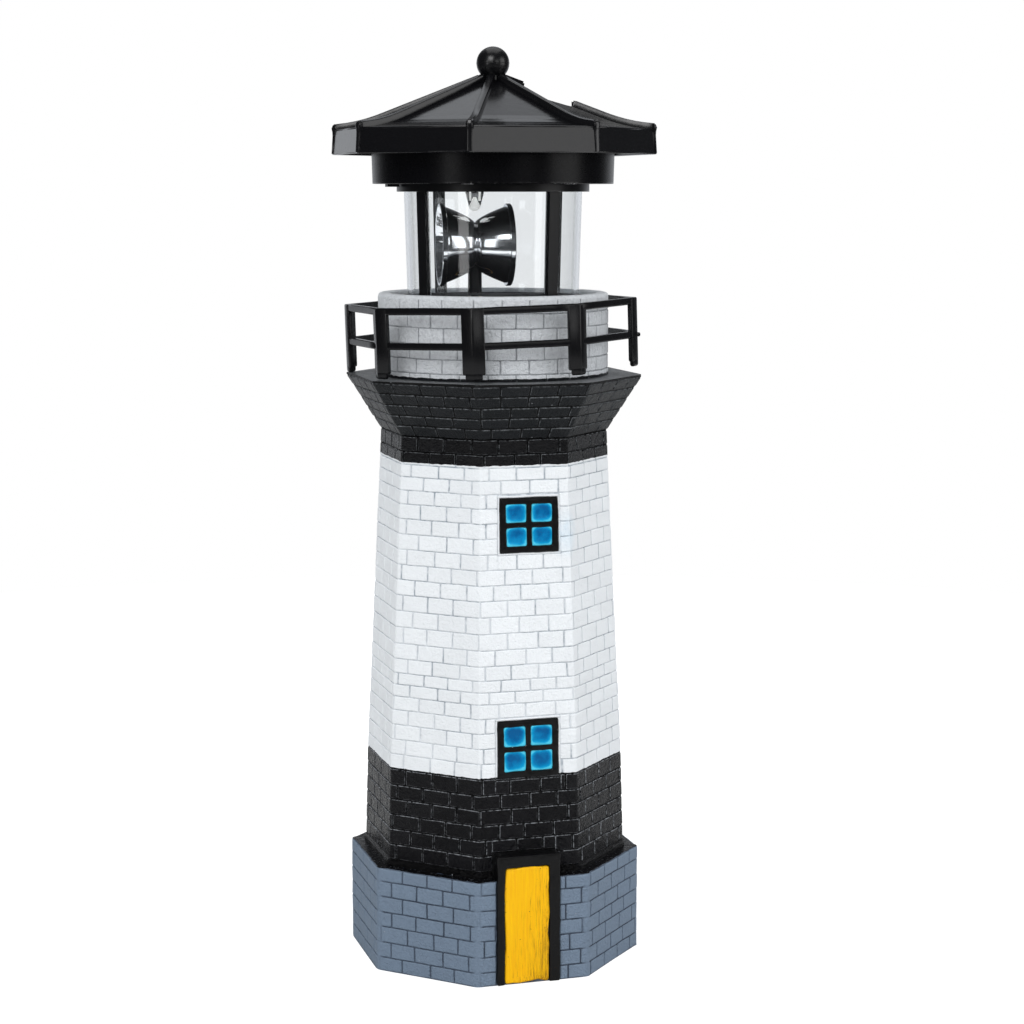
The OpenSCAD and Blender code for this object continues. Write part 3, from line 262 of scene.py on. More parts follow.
def core_stops(wall, z):
    """Places of a ring of the core: eight on each facet, with how much of a joint lies there."""
    if wall.is_round:
        return [(i / EIGHTHS, 1.0) for i in range(EIGHTHS * EIGHTHS)]
    side = wall.side(z)
    near = wall.soft / side
    groove = (wall.soft + 0.8) / side
    half, most = wall.fade * 0.5 + 0.1, wall.fade * 0.5 + 0.5
    stops = [(0, wall.fade), (near / 2, half), (near, most), (groove, 1.0), (0.5, 1.0),
             (1 - groove, 1.0), (1 - near, most), (1 - near / 2, half)]
    return [(k + a, joint) for k in range(EIGHTHS) for a, joint in stops]


def core_ring(build, wall, z, depth, ragged):
    ring = []
    for a, joint in core_stops(wall, z):
        place = wall.point(a, z, -depth * joint)
        shift = wobble(place, ragged, 0.25)
        place += shift if z else Vector((shift.x, shift.y, 0))
        ring.append(build.point(place, joint=joint, tone=0.5))
    return ring


def inner_ring(build, radius, z, is_round=True):
    wall = Wall((radius, z), (radius, z + 1), is_round)
    stops = [k + i / EIGHTHS for k in range(EIGHTHS) for i in range(EIGHTHS)]
    return [build.point(wall.point(a, z, 0), joint=0.0, tone=0.5) for a in stops]


def add_core(build):
    """The closed casting behind the bricks, with its hollow and the lantern's socket. Its
    outer rings, from the foot up: wall, height, depth behind the wall, raggedness and coat."""
    deck = Wall((DECK_R, Z_DECK), (DECK_R, Z_DECK + 1))
    even = JOINT_DEPTH
    outside = (
        (PLINTH, 0, 0.1, 0.5, SLATE), (PLINTH, 0.6, even, 0, SLATE),
        (PLINTH, PLINTH_H - 0.6, even, 0.1, SLATE), (PLINTH, PLINTH_H, 0.9, 0.1, LEDGE),
        (BAND, PLINTH_H, -0.9, 0.15, BLACK), (BAND, FOOT_LIP_Z - 1.0, -0.75, 0.15, BLACK),
        (BAND, FOOT_LIP_Z, 0.1, 0.15, BLACK), (BAND, FOOT_LIP_Z + 0.3, even, 0, BLACK),
        (BAND, Z_BAND, even, 0, WHITE), (SHAFT, Z_NECK, even, 0, BLACK),
        (NECK, Z_CORBEL, even, 0, BLACK), (CORBEL, Z_DECK - DECK_EDGE, 0.4, 0, BLACK),
        (CORBEL, Z_DECK - DECK_EDGE, 0, 0.25, BLACK), (deck, Z_DECK, 0.1, 0.25, DECK),
        (DRUM, Z_DECK, even, 0, WHITE), (DRUM, Z_RIM - RIM_ROUND - 0.6, even, 0, WHITE))
    rings = [(core_ring(build, wall, z, depth, ragged), slot)
             for wall, z, depth, ragged, slot in outside]
    for radius, way, turns in ((DRUM_R, -1, (0, 30, 60, 90)), (SEAT_R, 1, (90, 60, 30, 0))):
        for turn in (math.radians(degrees) for degrees in turns):
            out, rise = RIM_ROUND * (1 - math.cos(turn)), RIM_ROUND * math.sin(turn)
            rings.append((inner_ring(build, radius + way * out, Z_RIM - RIM_ROUND + rise), WHITE))
    rings += [
        (inner_ring(build, SEAT_R, Z_SEAT), WHITE),
        (inner_ring(build, SOCKET_R, Z_SEAT), RAW),
        (inner_ring(build, SOCKET_R, Z_NECK), RAW),
        (inner_ring(build, HOLLOW_TOP_R, Z_NECK, False), RAW),
        (inner_ring(build, HOLLOW_FOOT_R, 0, False), RAW),
    ]
    for (low, slot), (high, _) in zip(rings, rings[1:] + rings[:1]):
        build.bridge(low, high, slot)


def cut(rect, hole):
    """What is left of a rectangle (a0, a1, z0, z1) outside a hole."""
    a0, a1, z0, z1 = rect
    b0, b1, y0, y1 = hole
    if a1 <= b0 or a0 >= b1 or z1 <= y0 or z0 >= y1:
        return [rect]
    left = []
    if a0 < b0:
        left.append((a0, b0, z0, z1))
    if a1 > b1:
        left.append((b1, a1, z0, z1))
    a0, a1 = max(a0, b0), min(a1, b1)
    if z0 < y0:
        left.append((a0, a1, z0, y0))
    if z1 > y1:
        left.append((a0, a1, y1, z1))
    return left


def brick_columns(wall, a0, a1, edge, side):
    """Places of a brick's columns, with more of them where it turns a corner."""
    inner0, inner1 = a0 + edge, a1 - edge
    stops = []
    if not wall.is_round:
        for corner in range(math.ceil(a0), math.floor(a1) + 1):
            stops += [corner + step * wall.soft / side for step in (-1, -0.5, 0, 0.5, 1)]
    stops = [inner0] + [a for a in sorted(stops) if inner0 < a < inner1] + [inner1]
    widest = (1.6 if wall.is_round else 3.2) / side
    columns = [a0]
    for a, b in zip(stops, stops[1:]):
        parts = max(1, math.ceil((b - a) / widest))
        columns += [a + (b - a) * i / parts for i in range(parts)]
    return columns + [inner1, a1]


def add_brick(build, wall, rect, rise, tone):
    """One closed brick with soft, slightly uneven edges."""
    a0, a1, z0, z1 = rect
    side = wall.side((z0 + z1) / 2)
    edge = min(BEVEL / side, (a1 - a0) / 3)
    drop = min(BEVEL, (z1 - z0) / 3)
    columns = brick_columns(wall, a0, a1, edge, side)
    rows = [z0, z0 + drop, (z0 + z1) / 2, z1 - drop, z1]
    last_i, last_j = len(columns) - 1, len(rows) - 1

    def shaped(i, j, out):
        a, z = columns[i], rows[j]
        if i in (0, last_i) and j in (0, last_j):
            a += (0.45 if i == 0 else -0.45) * edge
            z += (0.45 if j == 0 else -0.45) * drop
        shift = wobble(wall.point(a, z, 0), 0.2, 0.16)
        return wall.point(a + shift.x / side, z + shift.z * 0.8, out + 0.6 * shift.y)

    def added(i, j):
        # Left and top edges get the full pale edge colour, right and bottom ones less: partly worn
        # paint, partly a painted highlight as if lit from the upper left.
        lit = 1.0 if i == 0 or j == last_j else 0.45 if i == last_i or j == 0 else 0.0
        out = rise - (BEVEL_DROP if lit else 0)
        return build.point(shaped(i, j, out), joint=0.15 if lit else 0.0, edge=lit, tone=tone)

    grid = [[added(i, j) for j in range(len(rows))] for i in range(len(columns))]
    for i in range(last_i):
        for j in range(last_j):
            build.face((grid[i][j], grid[i + 1][j], grid[i + 1][j + 1], grid[i][j + 1]),
                       wall.coat)
    loop = ([(i, 0) for i in range(last_i)] + [(last_i, j) for j in range(last_j)]
            + [(i, last_j) for i in range(last_i, 0, -1)] + [(0, j) for j in range(last_j, 0, -1)])
    base = [build.point(shaped(i, j, -BRICK_SINK), joint=1.0, edge=0.0, tone=tone)
            for i, j in loop]
    build.bridge(base, [grid[i][j] for i, j in loop], wall.coat)
    build.face(reversed(base), wall.coat)


def even_courses(low, high, count, dice):
    """Heights of the joints between courses, not quite evenly spaced."""
    step = (high - low) / count
    between = [low + step * (i + dice.uniform(-0.05, 0.05)) for i in range(1, count)]
    return [low] + between + [high]


def on_facet(wall, x0, x1, z0, z1):
    """A hole in the door's facet as places along the wall, from millimetres."""
    side = wall.side((z0 + z1) / 2)
    middle = DOOR_FACET + 0.5
    return (middle + x0 / side, middle + x1 / side, z0, z1)


def window_hole(wall, window, margin):
    half_w, half_h = window["w"] / 2 + margin, window["h"] / 2 + margin
    return on_facet(wall, window["x"] - half_w, window["x"] + half_w,
                    window["z"] - half_h, window["z"] + half_h)


def lay_course(build, wall, low, high, start, holes, dice):
    """One ring of bricks, cut round the holes."""
    side = wall.side((low + high) / 2)
    count = round(EIGHTHS * side / BRICK_L)
    joints = [start + EIGHTHS * (i + dice.uniform(-0.06, 0.06)) / count for i in range(count)]
    joints.append(joints[0] + EIGHTHS)
    upright, level = wall.joints[0] / 2 / side, wall.joints[1] / 2
    for a, b in zip(joints, joints[1:]):
        rects = [(a + upright, b - upright, low + level, high - level)]
        for hole in holes:
            rects = [piece for rect in rects for piece in around(rect, hole)]
        tone = dice.random()
        lift = dice.uniform(-0.04, 0.05)
        for rect in rects:
            if min((rect[1] - rect[0]) * side, rect[3] - rect[2]) > SHORTEST_BRICK:
                add_brick(build, wall, rect, lift, tone)


def around(rect, hole):
    """Cuts a rectangle by a hole, wherever the count of eighths has got to."""
    turn = EIGHTHS * math.floor((rect[0] - hole[0] + EIGHTHS / 2) / EIGHTHS)
    return cut(rect, (hole[0] + turn, hole[1] + turn, hole[2], hole[3]))


def lay_wall(build, wall, heights, holes, dice, shift=0.0):
    for number, (low, high) in enumerate(zip(heights, heights[1:])):
        count = round(EIGHTHS * wall.side((low + high) / 2) / BRICK_L)
        start = shift + EIGHTHS / count * (0.5 * (number % 2) + dice.uniform(-0.1, 0.1))
        lay_course(build, wall, low, high, start, holes, dice)


def add_margin(build, window):
    """The plain plaster strip that frames a window."""
    hole = window_hole(SHAFT, window, 0.05)
    outer = window_hole(SHAFT, window, WINDOW_MARGIN - 0.1)
    for rect in ((outer[0], outer[1], hole[3], outer[3]), (outer[0], outer[1], outer[2], hole[2]),
                 (outer[0], hole[0], hole[2], hole[3]), (hole[1], outer[1], hole[2], hole[3])):
        add_brick(build, SHAFT, rect, 0.12, 0.9)


def masonry():
    """The whole cast tower: a core with about 1,300 bricks standing proud of it."""
    build = Build()
    dice = random.Random(BRICK_SEED)
    add_core(build)
    door = (DOOR_FRAME_LEFT - 0.3, DOOR_FRAME_RIGHT + 0.3, 0, DOOR_FRAME_TOP + 0.3)
    lay_wall(build, PLINTH, PLINTH_COURSES, [on_facet(PLINTH, *door)], dice, 0.11)
    band_holes = [on_facet(BAND, *door), window_hole(BAND, LOWER_WINDOW, WINDOW_MARGIN)]
    lay_wall(build, BAND, even_courses(FOOT_LIP_Z, Z_BAND, 6, dice), band_holes, dice, 0.2)
    shaft_holes = [window_hole(SHAFT, w, WINDOW_MARGIN) for w in (UPPER_WINDOW, LOWER_WINDOW)]
    lay_wall(build, SHAFT, SHAFT_COURSES, shaft_holes, dice)
    lay_wall(build, NECK, even_courses(Z_NECK, Z_CORBEL, 2, dice), [], dice, 0.07)
    lay_wall(build, CORBEL, even_courses(Z_CORBEL, Z_DECK - DECK_EDGE, 5, dice), [], dice, 0.02)
    lay_wall(build, DRUM, even_courses(Z_DECK - 3.2, Z_RIM - 0.9, 6, dice), [], dice, 0.3)
    for window in (UPPER_WINDOW, LOWER_WINDOW):
        add_margin(build, window)
    coats = [painted_stone("white_coat", shine=0.22, gritty=0.5),
             painted_stone("slate_coat", shine=0.7, gritty=0.6),
             painted_stone("black_coat", shine=0.22, gritty=0.12),
             ledge_paint(), deck_paint(), raw_stone()]
    make_piece("tower_masonry", build, coats, "tower", ["tower_body"],
               angle=BRICK_SHARP)


# ======== Other shapes ========

def soften(outline, reach, steps=3):
    """Rounds the corners of a closed flat outline, each in a few steps."""
    rounded = []
    for before, here, after in zip(outline[-1:] + outline[:-1], outline,
                                   outline[1:] + outline[:1]):
        a = here + (before - here) * min(reach / (before - here).length, 0.45)
        b = here + (after - here) * min(reach / (after - here).length, 0.45)
        rounded += [bend(a, here, b, i / steps) for i in range(steps + 1)]
    return rounded


def join(build, rings, closed=False):
    """Joins rings of points into a bar, with ends where it isn't closed."""
    for low, high in zip(rings, rings[1:] + (rings[:1] if closed else [])):
        build.bridge(low, high)
    if not closed:
        build.face(rings[0])
        build.face(reversed(rings[-1]))


def skin(build, sections, closed=False):
    """Joins rings of places."""
    join(build, [[build.point(place) for place in section] for section in sections], closed)


def bead(build, path, radius, sides=8):
    """A thin round moulding along a closed path."""
    sections = []
    for i, place in enumerate(path):
        along = (path[(i + 1) % len(path)] - path[i - 1]).normalized()
        across = along.cross(UP if abs(along.z) < 0.9 else Vector((1, 0, 0))).normalized()
        over = across.cross(along)
        sections.append([place + (across * math.cos(a) + over * math.sin(a)) * radius
                         for a in (2 * math.pi * n / sides for n in range(sides))])
    skin(build, sections, closed=True)


def post_outline(flange, inset):
    """The V-shaped section of a railing post whose corner points along +X."""
    thick = RAIL_POST_T - 2 * inset
    corner = Vector((RAIL_R + 0.1 - inset / FLAT, 0))
    inner = corner - Vector((thick / FLAT, 0))
    ends = []
    for side in (1, -1):
        end = corner + Vector((-math.sin(HALF_TURN), side * FLAT)) * (flange - inset)
        ends.append((end, end - Vector((FLAT, side * math.sin(HALF_TURN))) * thick))
    return soften([ends[0][0], ends[0][1], inner, ends[1][1], ends[1][0], corner], 0.55)


def railing():
    """The moulded railing: mitred rails with rounded edges, on posts with narrower feet. One
    post keeps a short round stub."""
    build = Build()

    def placed(flat, z, k, share=0.0):
        place = Matrix.Rotation(HALF_TURN * (2 * k + 1), 3, "Z") @ Vector((flat.x, flat.y, z))
        bent = RAIL_BENT.get(k, 0) * (1 - share) + RAIL_BENT.get((k + 1) % 8, 0) * share
        place += wobble(place, 0.16, 0.06) + RAIL_BEND_WAY * bent
        return RAIL_PLACE + RAIL_TURN @ place

    for top in (RAIL_H, RAIL_H - RAIL_DROP):
        section = soften([Vector((0, 0)), Vector((RAIL_T, 0)), Vector((RAIL_T, RAIL_BAR)),
                          Vector((0, RAIL_BAR))], 0.6)
        rings = []
        for k in range(8):
            turn = Matrix.Rotation(2 * HALF_TURN, 2)
            for share in (0, 0.25, 0.5, 0.75):
                ring = []
                for p in section:
                    here = Vector((RAIL_R - p.x / FLAT, 0))
                    ring.append(placed(here.lerp(turn @ here, share), top - RAIL_BAR + p.y, k,
                                       share))
                rings.append(ring)
        skin(build, rings, closed=True)
    parts = ((RAIL_FLANGE, ((1.9, 0.5), (2.05, 0.2), (2.5, 0), (12, 0), (26.0, 0), (26.6, 0.3))),
             (RAIL_FOOT, ((0, 0.6), (0.25, 0.25), (0.8, 0.02), (2.7, 0.02))))
    for k in range(8):
        for flange, levels in parts:
            skin(build, [[placed(p, z, k) for p in post_outline(flange, inset)]
                         for z, inset in levels])
    stub = ((-0.5, 0.9), (0.7, 0.85), (1.0, 0.5), (1.1, 0.05))
    skin(build, [[placed(Vector((RAIL_R + out, r * math.cos(a))), STUB_Z + r * math.sin(a),
                         STUB_POST)
                  for a in (math.pi * n / 5 for n in range(10))] for out, r in stub])
    make_piece("railing", build, [black_plastic("rail_black", 6, 0.2, 0.3)], "tower",
               ["gallery_railing"], angle=40)


def moulded(name, node, voxel, wave, material):
    """A CAD node as it leaves a rubber mould: rounded edges, nothing quite straight."""
    piece = add_object(name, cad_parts[node].data.copy())
    remesh = piece.modifiers.new("remesh", "REMESH")
    remesh.mode = "VOXEL"
    remesh.voxel_size = voxel * MM
    smooth = piece.modifiers.new("smooth", "SMOOTH")
    smooth.factor, smooth.iterations = 0.5, 3
    shaped = piece.evaluated_get(bpy.context.evaluated_depsgraph_get())
    mesh = bpy.data.meshes.new_from_object(shaped)
    piece.modifiers.clear()
    piece.data = mesh
    for vertex in mesh.vertices:
        place = vertex.co / MM
        vertex.co += (wobble(place, wave, 0.16) + wobble(place, wave * 0.3, 0.7)) * MM
        vertex.co.z = max(vertex.co.z, 0)
    mesh.materials.clear()
    mesh.materials.append(material)
    mesh.shade_smooth()
    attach(piece, "tower")
    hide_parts(node)


def cushion(build, place, w, h, corner, levels, wave):
    """A closed plate with rounded corners. Its levels are pairs of inset and height, and its
    rim value falls from about 1 at the edge to 0 inside, and is a little higher at the foot."""
    rings = []
    for inset, out in levels:
        reach = max(0.05, corner - inset)
        half_w, half_h = w / 2 - inset - reach, h / 2 - inset - reach
        middles = [Vector((sx * half_w, sz * half_h))
                   for sx, sz in ((1, 1), (-1, 1), (-1, -1), (1, -1))]
        ring = []
        for quarter, middle in enumerate(middles):
            arc = [middle + reach * Vector((math.cos(a), math.sin(a)))
                   for a in (math.radians(90 * quarter) + HALF_TURN * n for n in range(5))]
            nearest = middles[(quarter + 1) % 4] + arc[-1] - middle
            ring += arc + [arc[-1].lerp(nearest, n / 10) for n in range(1, 10)]
        points = []
        for flat in ring:
            spot = place(flat.x, out, flat.y)
            shift = wobble(spot, wave, 0.22) * max(0.0, 1 - inset / 3)
            off = abs(2 * flat.x / w) ** 3 + abs(2 * flat.y / h) ** 3
            points.append(build.point(spot + shift, rim=off ** 1.6 - 0.5 * flat.y / h))
        rings.append(points)
    join(build, rings)


def window_panes(name, window, replaced):
    """Four pillowed blobs of blue enamel."""
    build = Build()
    foot = Vector((window["x"], -BAND_R * FLAT + (window["z"] - Z_BAND) * SHAFT_TAPER,
                   window["z"]))
    lean = Matrix.Rotation(-SHAFT_LEAN, 3, "X")
    pane_w = (window["w"] - 2 * FRAME_BAR - MUNTIN) / 2
    pane_h = (window["h"] - 2 * FRAME_BAR - MUNTIN) / 2
    levels = ((0, -0.9), (0, 0.0), (0.15, 0.12), (0.5, 0.22), (0.9, 0.22), (1.4, 0.18),
              (2.1, 0.12), (3.0, 0.08))
    for sx in (-1, 1):
        for sz in (-1, 1):
            def place(x, out, z, sx=sx, sz=sz):
                return foot + lean @ Vector((sx * (pane_w + MUNTIN) / 2 + x, -out,
                                             sz * (pane_h + MUNTIN) / 2 + z))
            cushion(build, place, pane_w + 0.2, pane_h + 0.2, 0.8, levels, 0.2)
    make_piece(name, build, [pane_blue()], "tower", [replaced], angle=60)


def door_leaf():
    """The painted door, with wavering edges."""
    build = Build()
    back = DOOR_FRONT - DOOR_SINK

    def place(x, out, z):
        return Vector(((DOOR_LEFT + DOOR_RIGHT) / 2 + x, -back - out,
                       (DOOR_SILL + DOOR_TOP) / 2 + z))

    levels = ((0, -5.5), (0, -0.35), (0.12, 0.0), (0.4, 0.18), (1.0, 0.2), (3.0, 0.14),
              (6.0, 0.1))
    cushion(build, place, DOOR_RIGHT - DOOR_LEFT - 0.3, DOOR_TOP - DOOR_SILL - 0.2, 1.3, levels,
            0.8)
    make_piece("door", build, [door_yellow()], "tower", ["door_leaf"], angle=60)


def ridge_z(r):
    """Height of the roof's corner ridge at a corner radius."""
    lift = max(0, r - FLARE_START) / FLARE_W
    return Z_APEX - ROOF_SLOPE * r + FLARE_LIFT * lift ** 2


def rib(build, turn, start, full, skew=0):
    """A rounded rib down a roof ridge, which bends over the eave and runs down the skirt. Its
    upper end is cut at a slant where it meets the solar panel's seat."""
    def slope(r):
        return Vector((ridge_z(r - 0.5) - ridge_z(r + 0.5), 1)).normalized()

    stations = [(start + 0.15, full * RIB_H, RIB_W / 2 - 0.2), (start + 0.6, RIB_H, RIB_W / 2)]
    steps = 14
    stations += [(start + 1 + (60.2 - start) * i / steps, RIB_H, RIB_W / 2)
                 for i in range(steps + 1)]
    line = [(r, ridge_z(r), slope(r), h, w) for r, h, w in stations]
    line += [(61.8, Z_SKIRT + 0.1, Vector((0.5, 0.86)), 2.1, 1.35),
             (62.15, Z_SKIRT - 0.2, Vector((0.8, 0.6)), 1.5, 1.2),
             (62.3, Z_SKIRT - 0.9, Vector((0.98, 0.2)), 0.75, 1.1),
             (62.5, Z_SKIRT - 2.2, Vector((1, 0.08)), 0.45, 1.0),
             (63.1, Z_EAVE + 0.3, Vector((1, 0.08)), 0.3, 0.95)]
    shape = ((-1, None), (-1, 0.62), (-0.84, 0.9), (-0.4, 1), (0.4, 1), (0.84, 0.9), (1, 0.62),
             (1, None))
    sections = []
    for r, z, up, h, w in line:
        section = []
        for across, height in shape:
            lift = -0.9 if height is None else h * height
            cut_back = skew * across * w * max(0, 1 - (r - start) / 6)
            section.append(turn @ Vector((r + up.x * lift + cut_back, across * w,
                                          z + up.y * lift - ROOF_SLOPE * cut_back)))
        sections.append(section)
    skin(build, sections)


def ring_path(radius, z, count, start=0.0):
    return [polar(radius, start + 2 * math.pi * n / count, z) for n in range(count)]


def roof_trim():
    """The rounded ribs and the soft edges that the mould gives the head's plastic parts."""
    build = Build()
    for i in range(8):
        turn = Matrix.Rotation(ROOF_ANGLE + 2 * HALF_TURN * i, 3, "Z")
        if i == 0:
            rib(build, turn, RIB_START_BELOW_SEAT, 0.9)
        elif i in (1, 7):
            rib(build, turn, RIB_START_AT_SEAT, 0.97, -1 if i == 1 else 1)
        else:
            rib(build, turn, RIB_START, 0.6)
    bead(build, ring_path(EAVE_TOP_R - 0.4, Z_SKIRT - 0.3, 8, ROOF_ANGLE), 0.5)
    bead(build, ring_path(EAVE_R - 0.4, Z_EAVE + 0.3, 8, ROOF_ANGLE), 0.4)
    bead(build, ring_path(RING_R - 0.45, Z_RING + 0.42, 96), 0.5)
    bead(build, ring_path(FLANGE_R - 0.3, Z_CEILING + 0.28, 96), 0.34)
    bead(build, ring_path(BALL_R - 0.02, BALL_Z, 64), 0.13)
    corners = ((0, -1), (0, 1), (1, 1), (1, -1))
    bead(build, [SEAT_PLACE + SEAT_TURN @ Vector((x * (SEAT_W - 0.6) + 0.3,
                                                  y * (SEAT_W / 2 - 0.3), -0.22))
                 for x, y in corners], 0.36)
    make_piece("roof_trim", build, [black_plastic("trim_plastic", 8, 0.14, 0.5)],
               "lantern_head", angle=45)


def reflector(name, turn, replaced):
    """Half of the plated reflector: a swelling outside, a stepped rim and a dimpled bowl. It
    wears the plain plating that the node it replaces has in model.glb."""
    build = Build()
    bowl_r = RIM_R - RIM_STEP
    swell, rim = bowl_r - WAIST_R, REFLECTOR_HALF - RIM_LIP - 0.6
    outside = [(0.01, 0.0)] + [(WAIST_R + swell * part ** 0.7, (rim - 0.4) * part)
                               for part in ((i / 12) ** 1.4 for i in range(13))]
    outside += [(bowl_r, rim), (RIM_R - 0.2, rim), (RIM_R, rim + 0.2),
                (RIM_R, REFLECTOR_HALF - 0.25), (RIM_R - 0.25, REFLECTOR_HALF),
                (bowl_r + 0.2, REFLECTOR_HALF), (bowl_r, REFLECTOR_HALF - 0.2)]
    place = Matrix.Rotation(math.radians(REFLECTOR_TURN + turn), 3, "Z")

    def bowl(r, a):
        part = r / bowl_r
        dimple = abs(math.sin(math.pi * part * DIMPLE_RINGS)) * abs(math.sin(a * DIMPLE_RAYS))
        return (REFLECTOR_HALF - 0.25 - (REFLECTOR_HALF - RIM_STEP) * (1 - part ** 2)
                + DIMPLE_H * dimple)

    steps, sides = 40, 96
    inside = [(bowl_r * (1 - i / steps) + 0.01, None) for i in range(steps + 1)]
    sections = []
    for r, x in outside + inside:
        sections.append([SPINDLE_AT + place @ Vector((bowl(r, a) if x is None else x,
                                                      r * math.cos(a), r * math.sin(a)))
                         for a in (2 * math.pi * n / sides for n in range(sides))])
    skin(build, sections)
    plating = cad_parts[replaced].data.materials[0]
    make_piece(name, build, [plating], "reflector", [replaced], angle=40)


def lamp_core():
    """The white cup and the two legs inside the lamp's clear case, which glow faintly as painted
    light.
    """
    build = Build()
    axis = Vector((SPINDLE_AT.x, SPINDLE_AT.y, 0))

    def ring(r, z, x=0.0):
        return [axis + Vector((x + r * math.cos(a), r * math.sin(a), z))
                for a in (math.pi * n / 12 for n in range(24))]

    skin(build, [ring(r, z) for r, z in LAMP_CUP])
    for x in (-LEG_OFF, LEG_OFF):
        skin(build, [ring(LEG_R, z, x) for z in LEG_Z])
    white = plain_plastic("lamp_white_painted_glow", paint(250, 250, 246), 0.4)
    # A faint glow: painted light that brightens the cup behind the clear case; the LED is not lit.
    shader = white.node_tree.nodes["Principled BSDF"]
    shader.inputs["Emission Color"].default_value = (1, 1, 0.97, 1)
    shader.inputs["Emission Strength"].default_value = 0.5
    make_piece("lamp_core", build, [white], "lantern_head")


# ======== Materials ========

def paint(red, green, blue):
    """A colour as it looks on screen, 0 to 255, as linear light."""
    return tuple(c / 255 / 12.92 if c <= 10 else ((c / 255 + 0.055) / 1.055) ** 2.4
                 for c in (red, green, blue)) + (1.0,)


class Graph:
    """A material's nodes, with short calls that add one and link what feeds it. A pattern's
    scale is in waves per millimetre."""

    def __init__(self, name):
        self.material = bpy.data.materials.new(name)
        self.material.use_nodes = True
        self.tree = self.material.node_tree
        self.shader = self.tree.nodes["Principled BSDF"]
        coordinates = self.node("ShaderNodeTexCoord")
        scaled = self.node("ShaderNodeVectorMath", {0: coordinates.outputs["Object"]},
                           operation="SCALE")
        scaled.inputs["Scale"].default_value = 1 / MM
        self.place = scaled.outputs[0]

    def node(self, kind, sockets=None, **settings):
        node = self.tree.nodes.new(kind)
        for key, value in settings.items():
            setattr(node, key, value)
        for key, value in (sockets or {}).items():
            self.feed(node.inputs[key], value)
        return node

    def feed(self, socket, value):
        if isinstance(value, bpy.types.NodeSocket):
            self.tree.links.new(value, socket)
        else:
            socket.default_value = value

    def set(self, **sockets):
        """Sets the shader's sockets; an underscore in a name stands for a space."""
        for key, value in sockets.items():
            self.feed(self.shader.inputs[key.replace("_", " ")], value)

    def math(self, operation, a, b=0.0, clamp=False):
        return self.node("ShaderNodeMath", {0: a, 1: b}, operation=operation,
                         use_clamp=clamp).outputs[0]

    def plus(self, a, b):
        return self.math("ADD", a, b)

    def minus(self, a, b, clamp=False):
        return self.math("SUBTRACT", a, b, clamp)

    def times(self, a, b, clamp=False):
        return self.math("MULTIPLY", a, b, clamp)

    def mix(self, factor, a, b):
        return self.node("ShaderNodeMix", {0: factor, 6: a, 7: b}, data_type="RGBA").outputs[2]

    def noise(self, scale, detail=3.0, roughness=0.55, distortion=0.0, place=None):
        node = self.node("ShaderNodeTexNoise", {"Vector": place or self.place, "Scale": scale,
                                                "Detail": detail, "Roughness": roughness,
                                                "Distortion": distortion})
        return node.outputs[0]

    def patches(self, low, high, scale, detail, roughness=0.55):
        """Noise spread out between two of its levels: 0 at the low one and 1 at the high one."""
        return self.ramp(self.noise(scale, detail, roughness), [(low, 0.0), (high, 1.0)])

    def stretched(self, x, y, z):
        """The place with each axis scaled, for streaks."""
        return self.node("ShaderNodeVectorMath", {0: self.place, 1: (x, y, z)},
                         operation="MULTIPLY").outputs[0]

    def specks(self, scale, size):
        """Small round specks: 1 inside them and 0 elsewhere."""
        cells = self.node("ShaderNodeTexVoronoi", {"Vector": self.place, "Scale": scale})
        return self.math("LESS_THAN", cells.outputs["Distance"], size)

    def ramp(self, factor, stops, interpolation="LINEAR"):
        node = self.node("ShaderNodeValToRGB", {"Fac": factor})
        ramp = node.color_ramp
        ramp.interpolation = interpolation
        while len(ramp.elements) < len(stops):
            ramp.elements.new(1.0)
        for element, (position, value) in zip(ramp.elements, stops):
            element.position = position
            element.color = value if isinstance(value, tuple) else (value, value, value, 1)
        return node.outputs[0]

    def attribute(self, name):
        return self.node("ShaderNodeAttribute", attribute_name=name).outputs["Fac"]

    def bump(self, height, strength, distance, normal=None):
        sockets = {"Height": height, "Strength": strength, "Distance": distance * MM}
        if normal:
            sockets["Normal"] = normal
        return self.node("ShaderNodeBump", sockets).outputs[0]


# The coats of paint on the casting: the height where each starts, the colours of brick, joint
# and pale edge (worn paint with a painted highlight), how strongly its pale edges show, its
# roughness, how full of grime its joints are at least, how scuffed its bricks are, and how lumpy
# it is
COAT_VALUES = ("start", "brick", "joint", "worn", "wear_and_highlight", "rough", "grime", "scuff", "lumps")
COATS = (
    (0.0, (112, 130, 151), (46, 58, 76), (140, 156, 174), 0.5, 0.6, 0.75, 0.25, 0.6),
    (PLINTH_H - 0.25, (4, 4, 7), (1, 1, 2), (190, 194, 200), 1.0, 0.14, 1.0, 0.05, 1.6),
    (Z_BAND, (239, 242, 245), (160, 169, 178), (246, 248, 250), 0.0, 0.5, 0.3, 0.1, 0.4),
    (Z_NECK, (6, 6, 8), (1, 1, 2), (150, 154, 158), 0.9, 0.16, 1.0, 0.05, 1.8),
    (Z_CORBEL, (13, 17, 20), (1, 1, 2), (150, 154, 158), 0.8, 0.3, 1.0, 0.05, 0.9),
    # The drum's white is greyer than the shaft's: partly weathering, partly painted shade from the
    # railing and the lantern above it.
    (Z_DECK + 0.3, (216, 219, 223), (138, 141, 146), (238, 240, 243), 0.2, 0.6, 0.55, 0.6, 0.9),
)
# Blue overspray beside the upper window
SPRAY_PLACE, SPRAY_REACH, SPRAY_BLUE = (17.0, -BAND_R, 172.0), 13.0, paint(150, 205, 235)


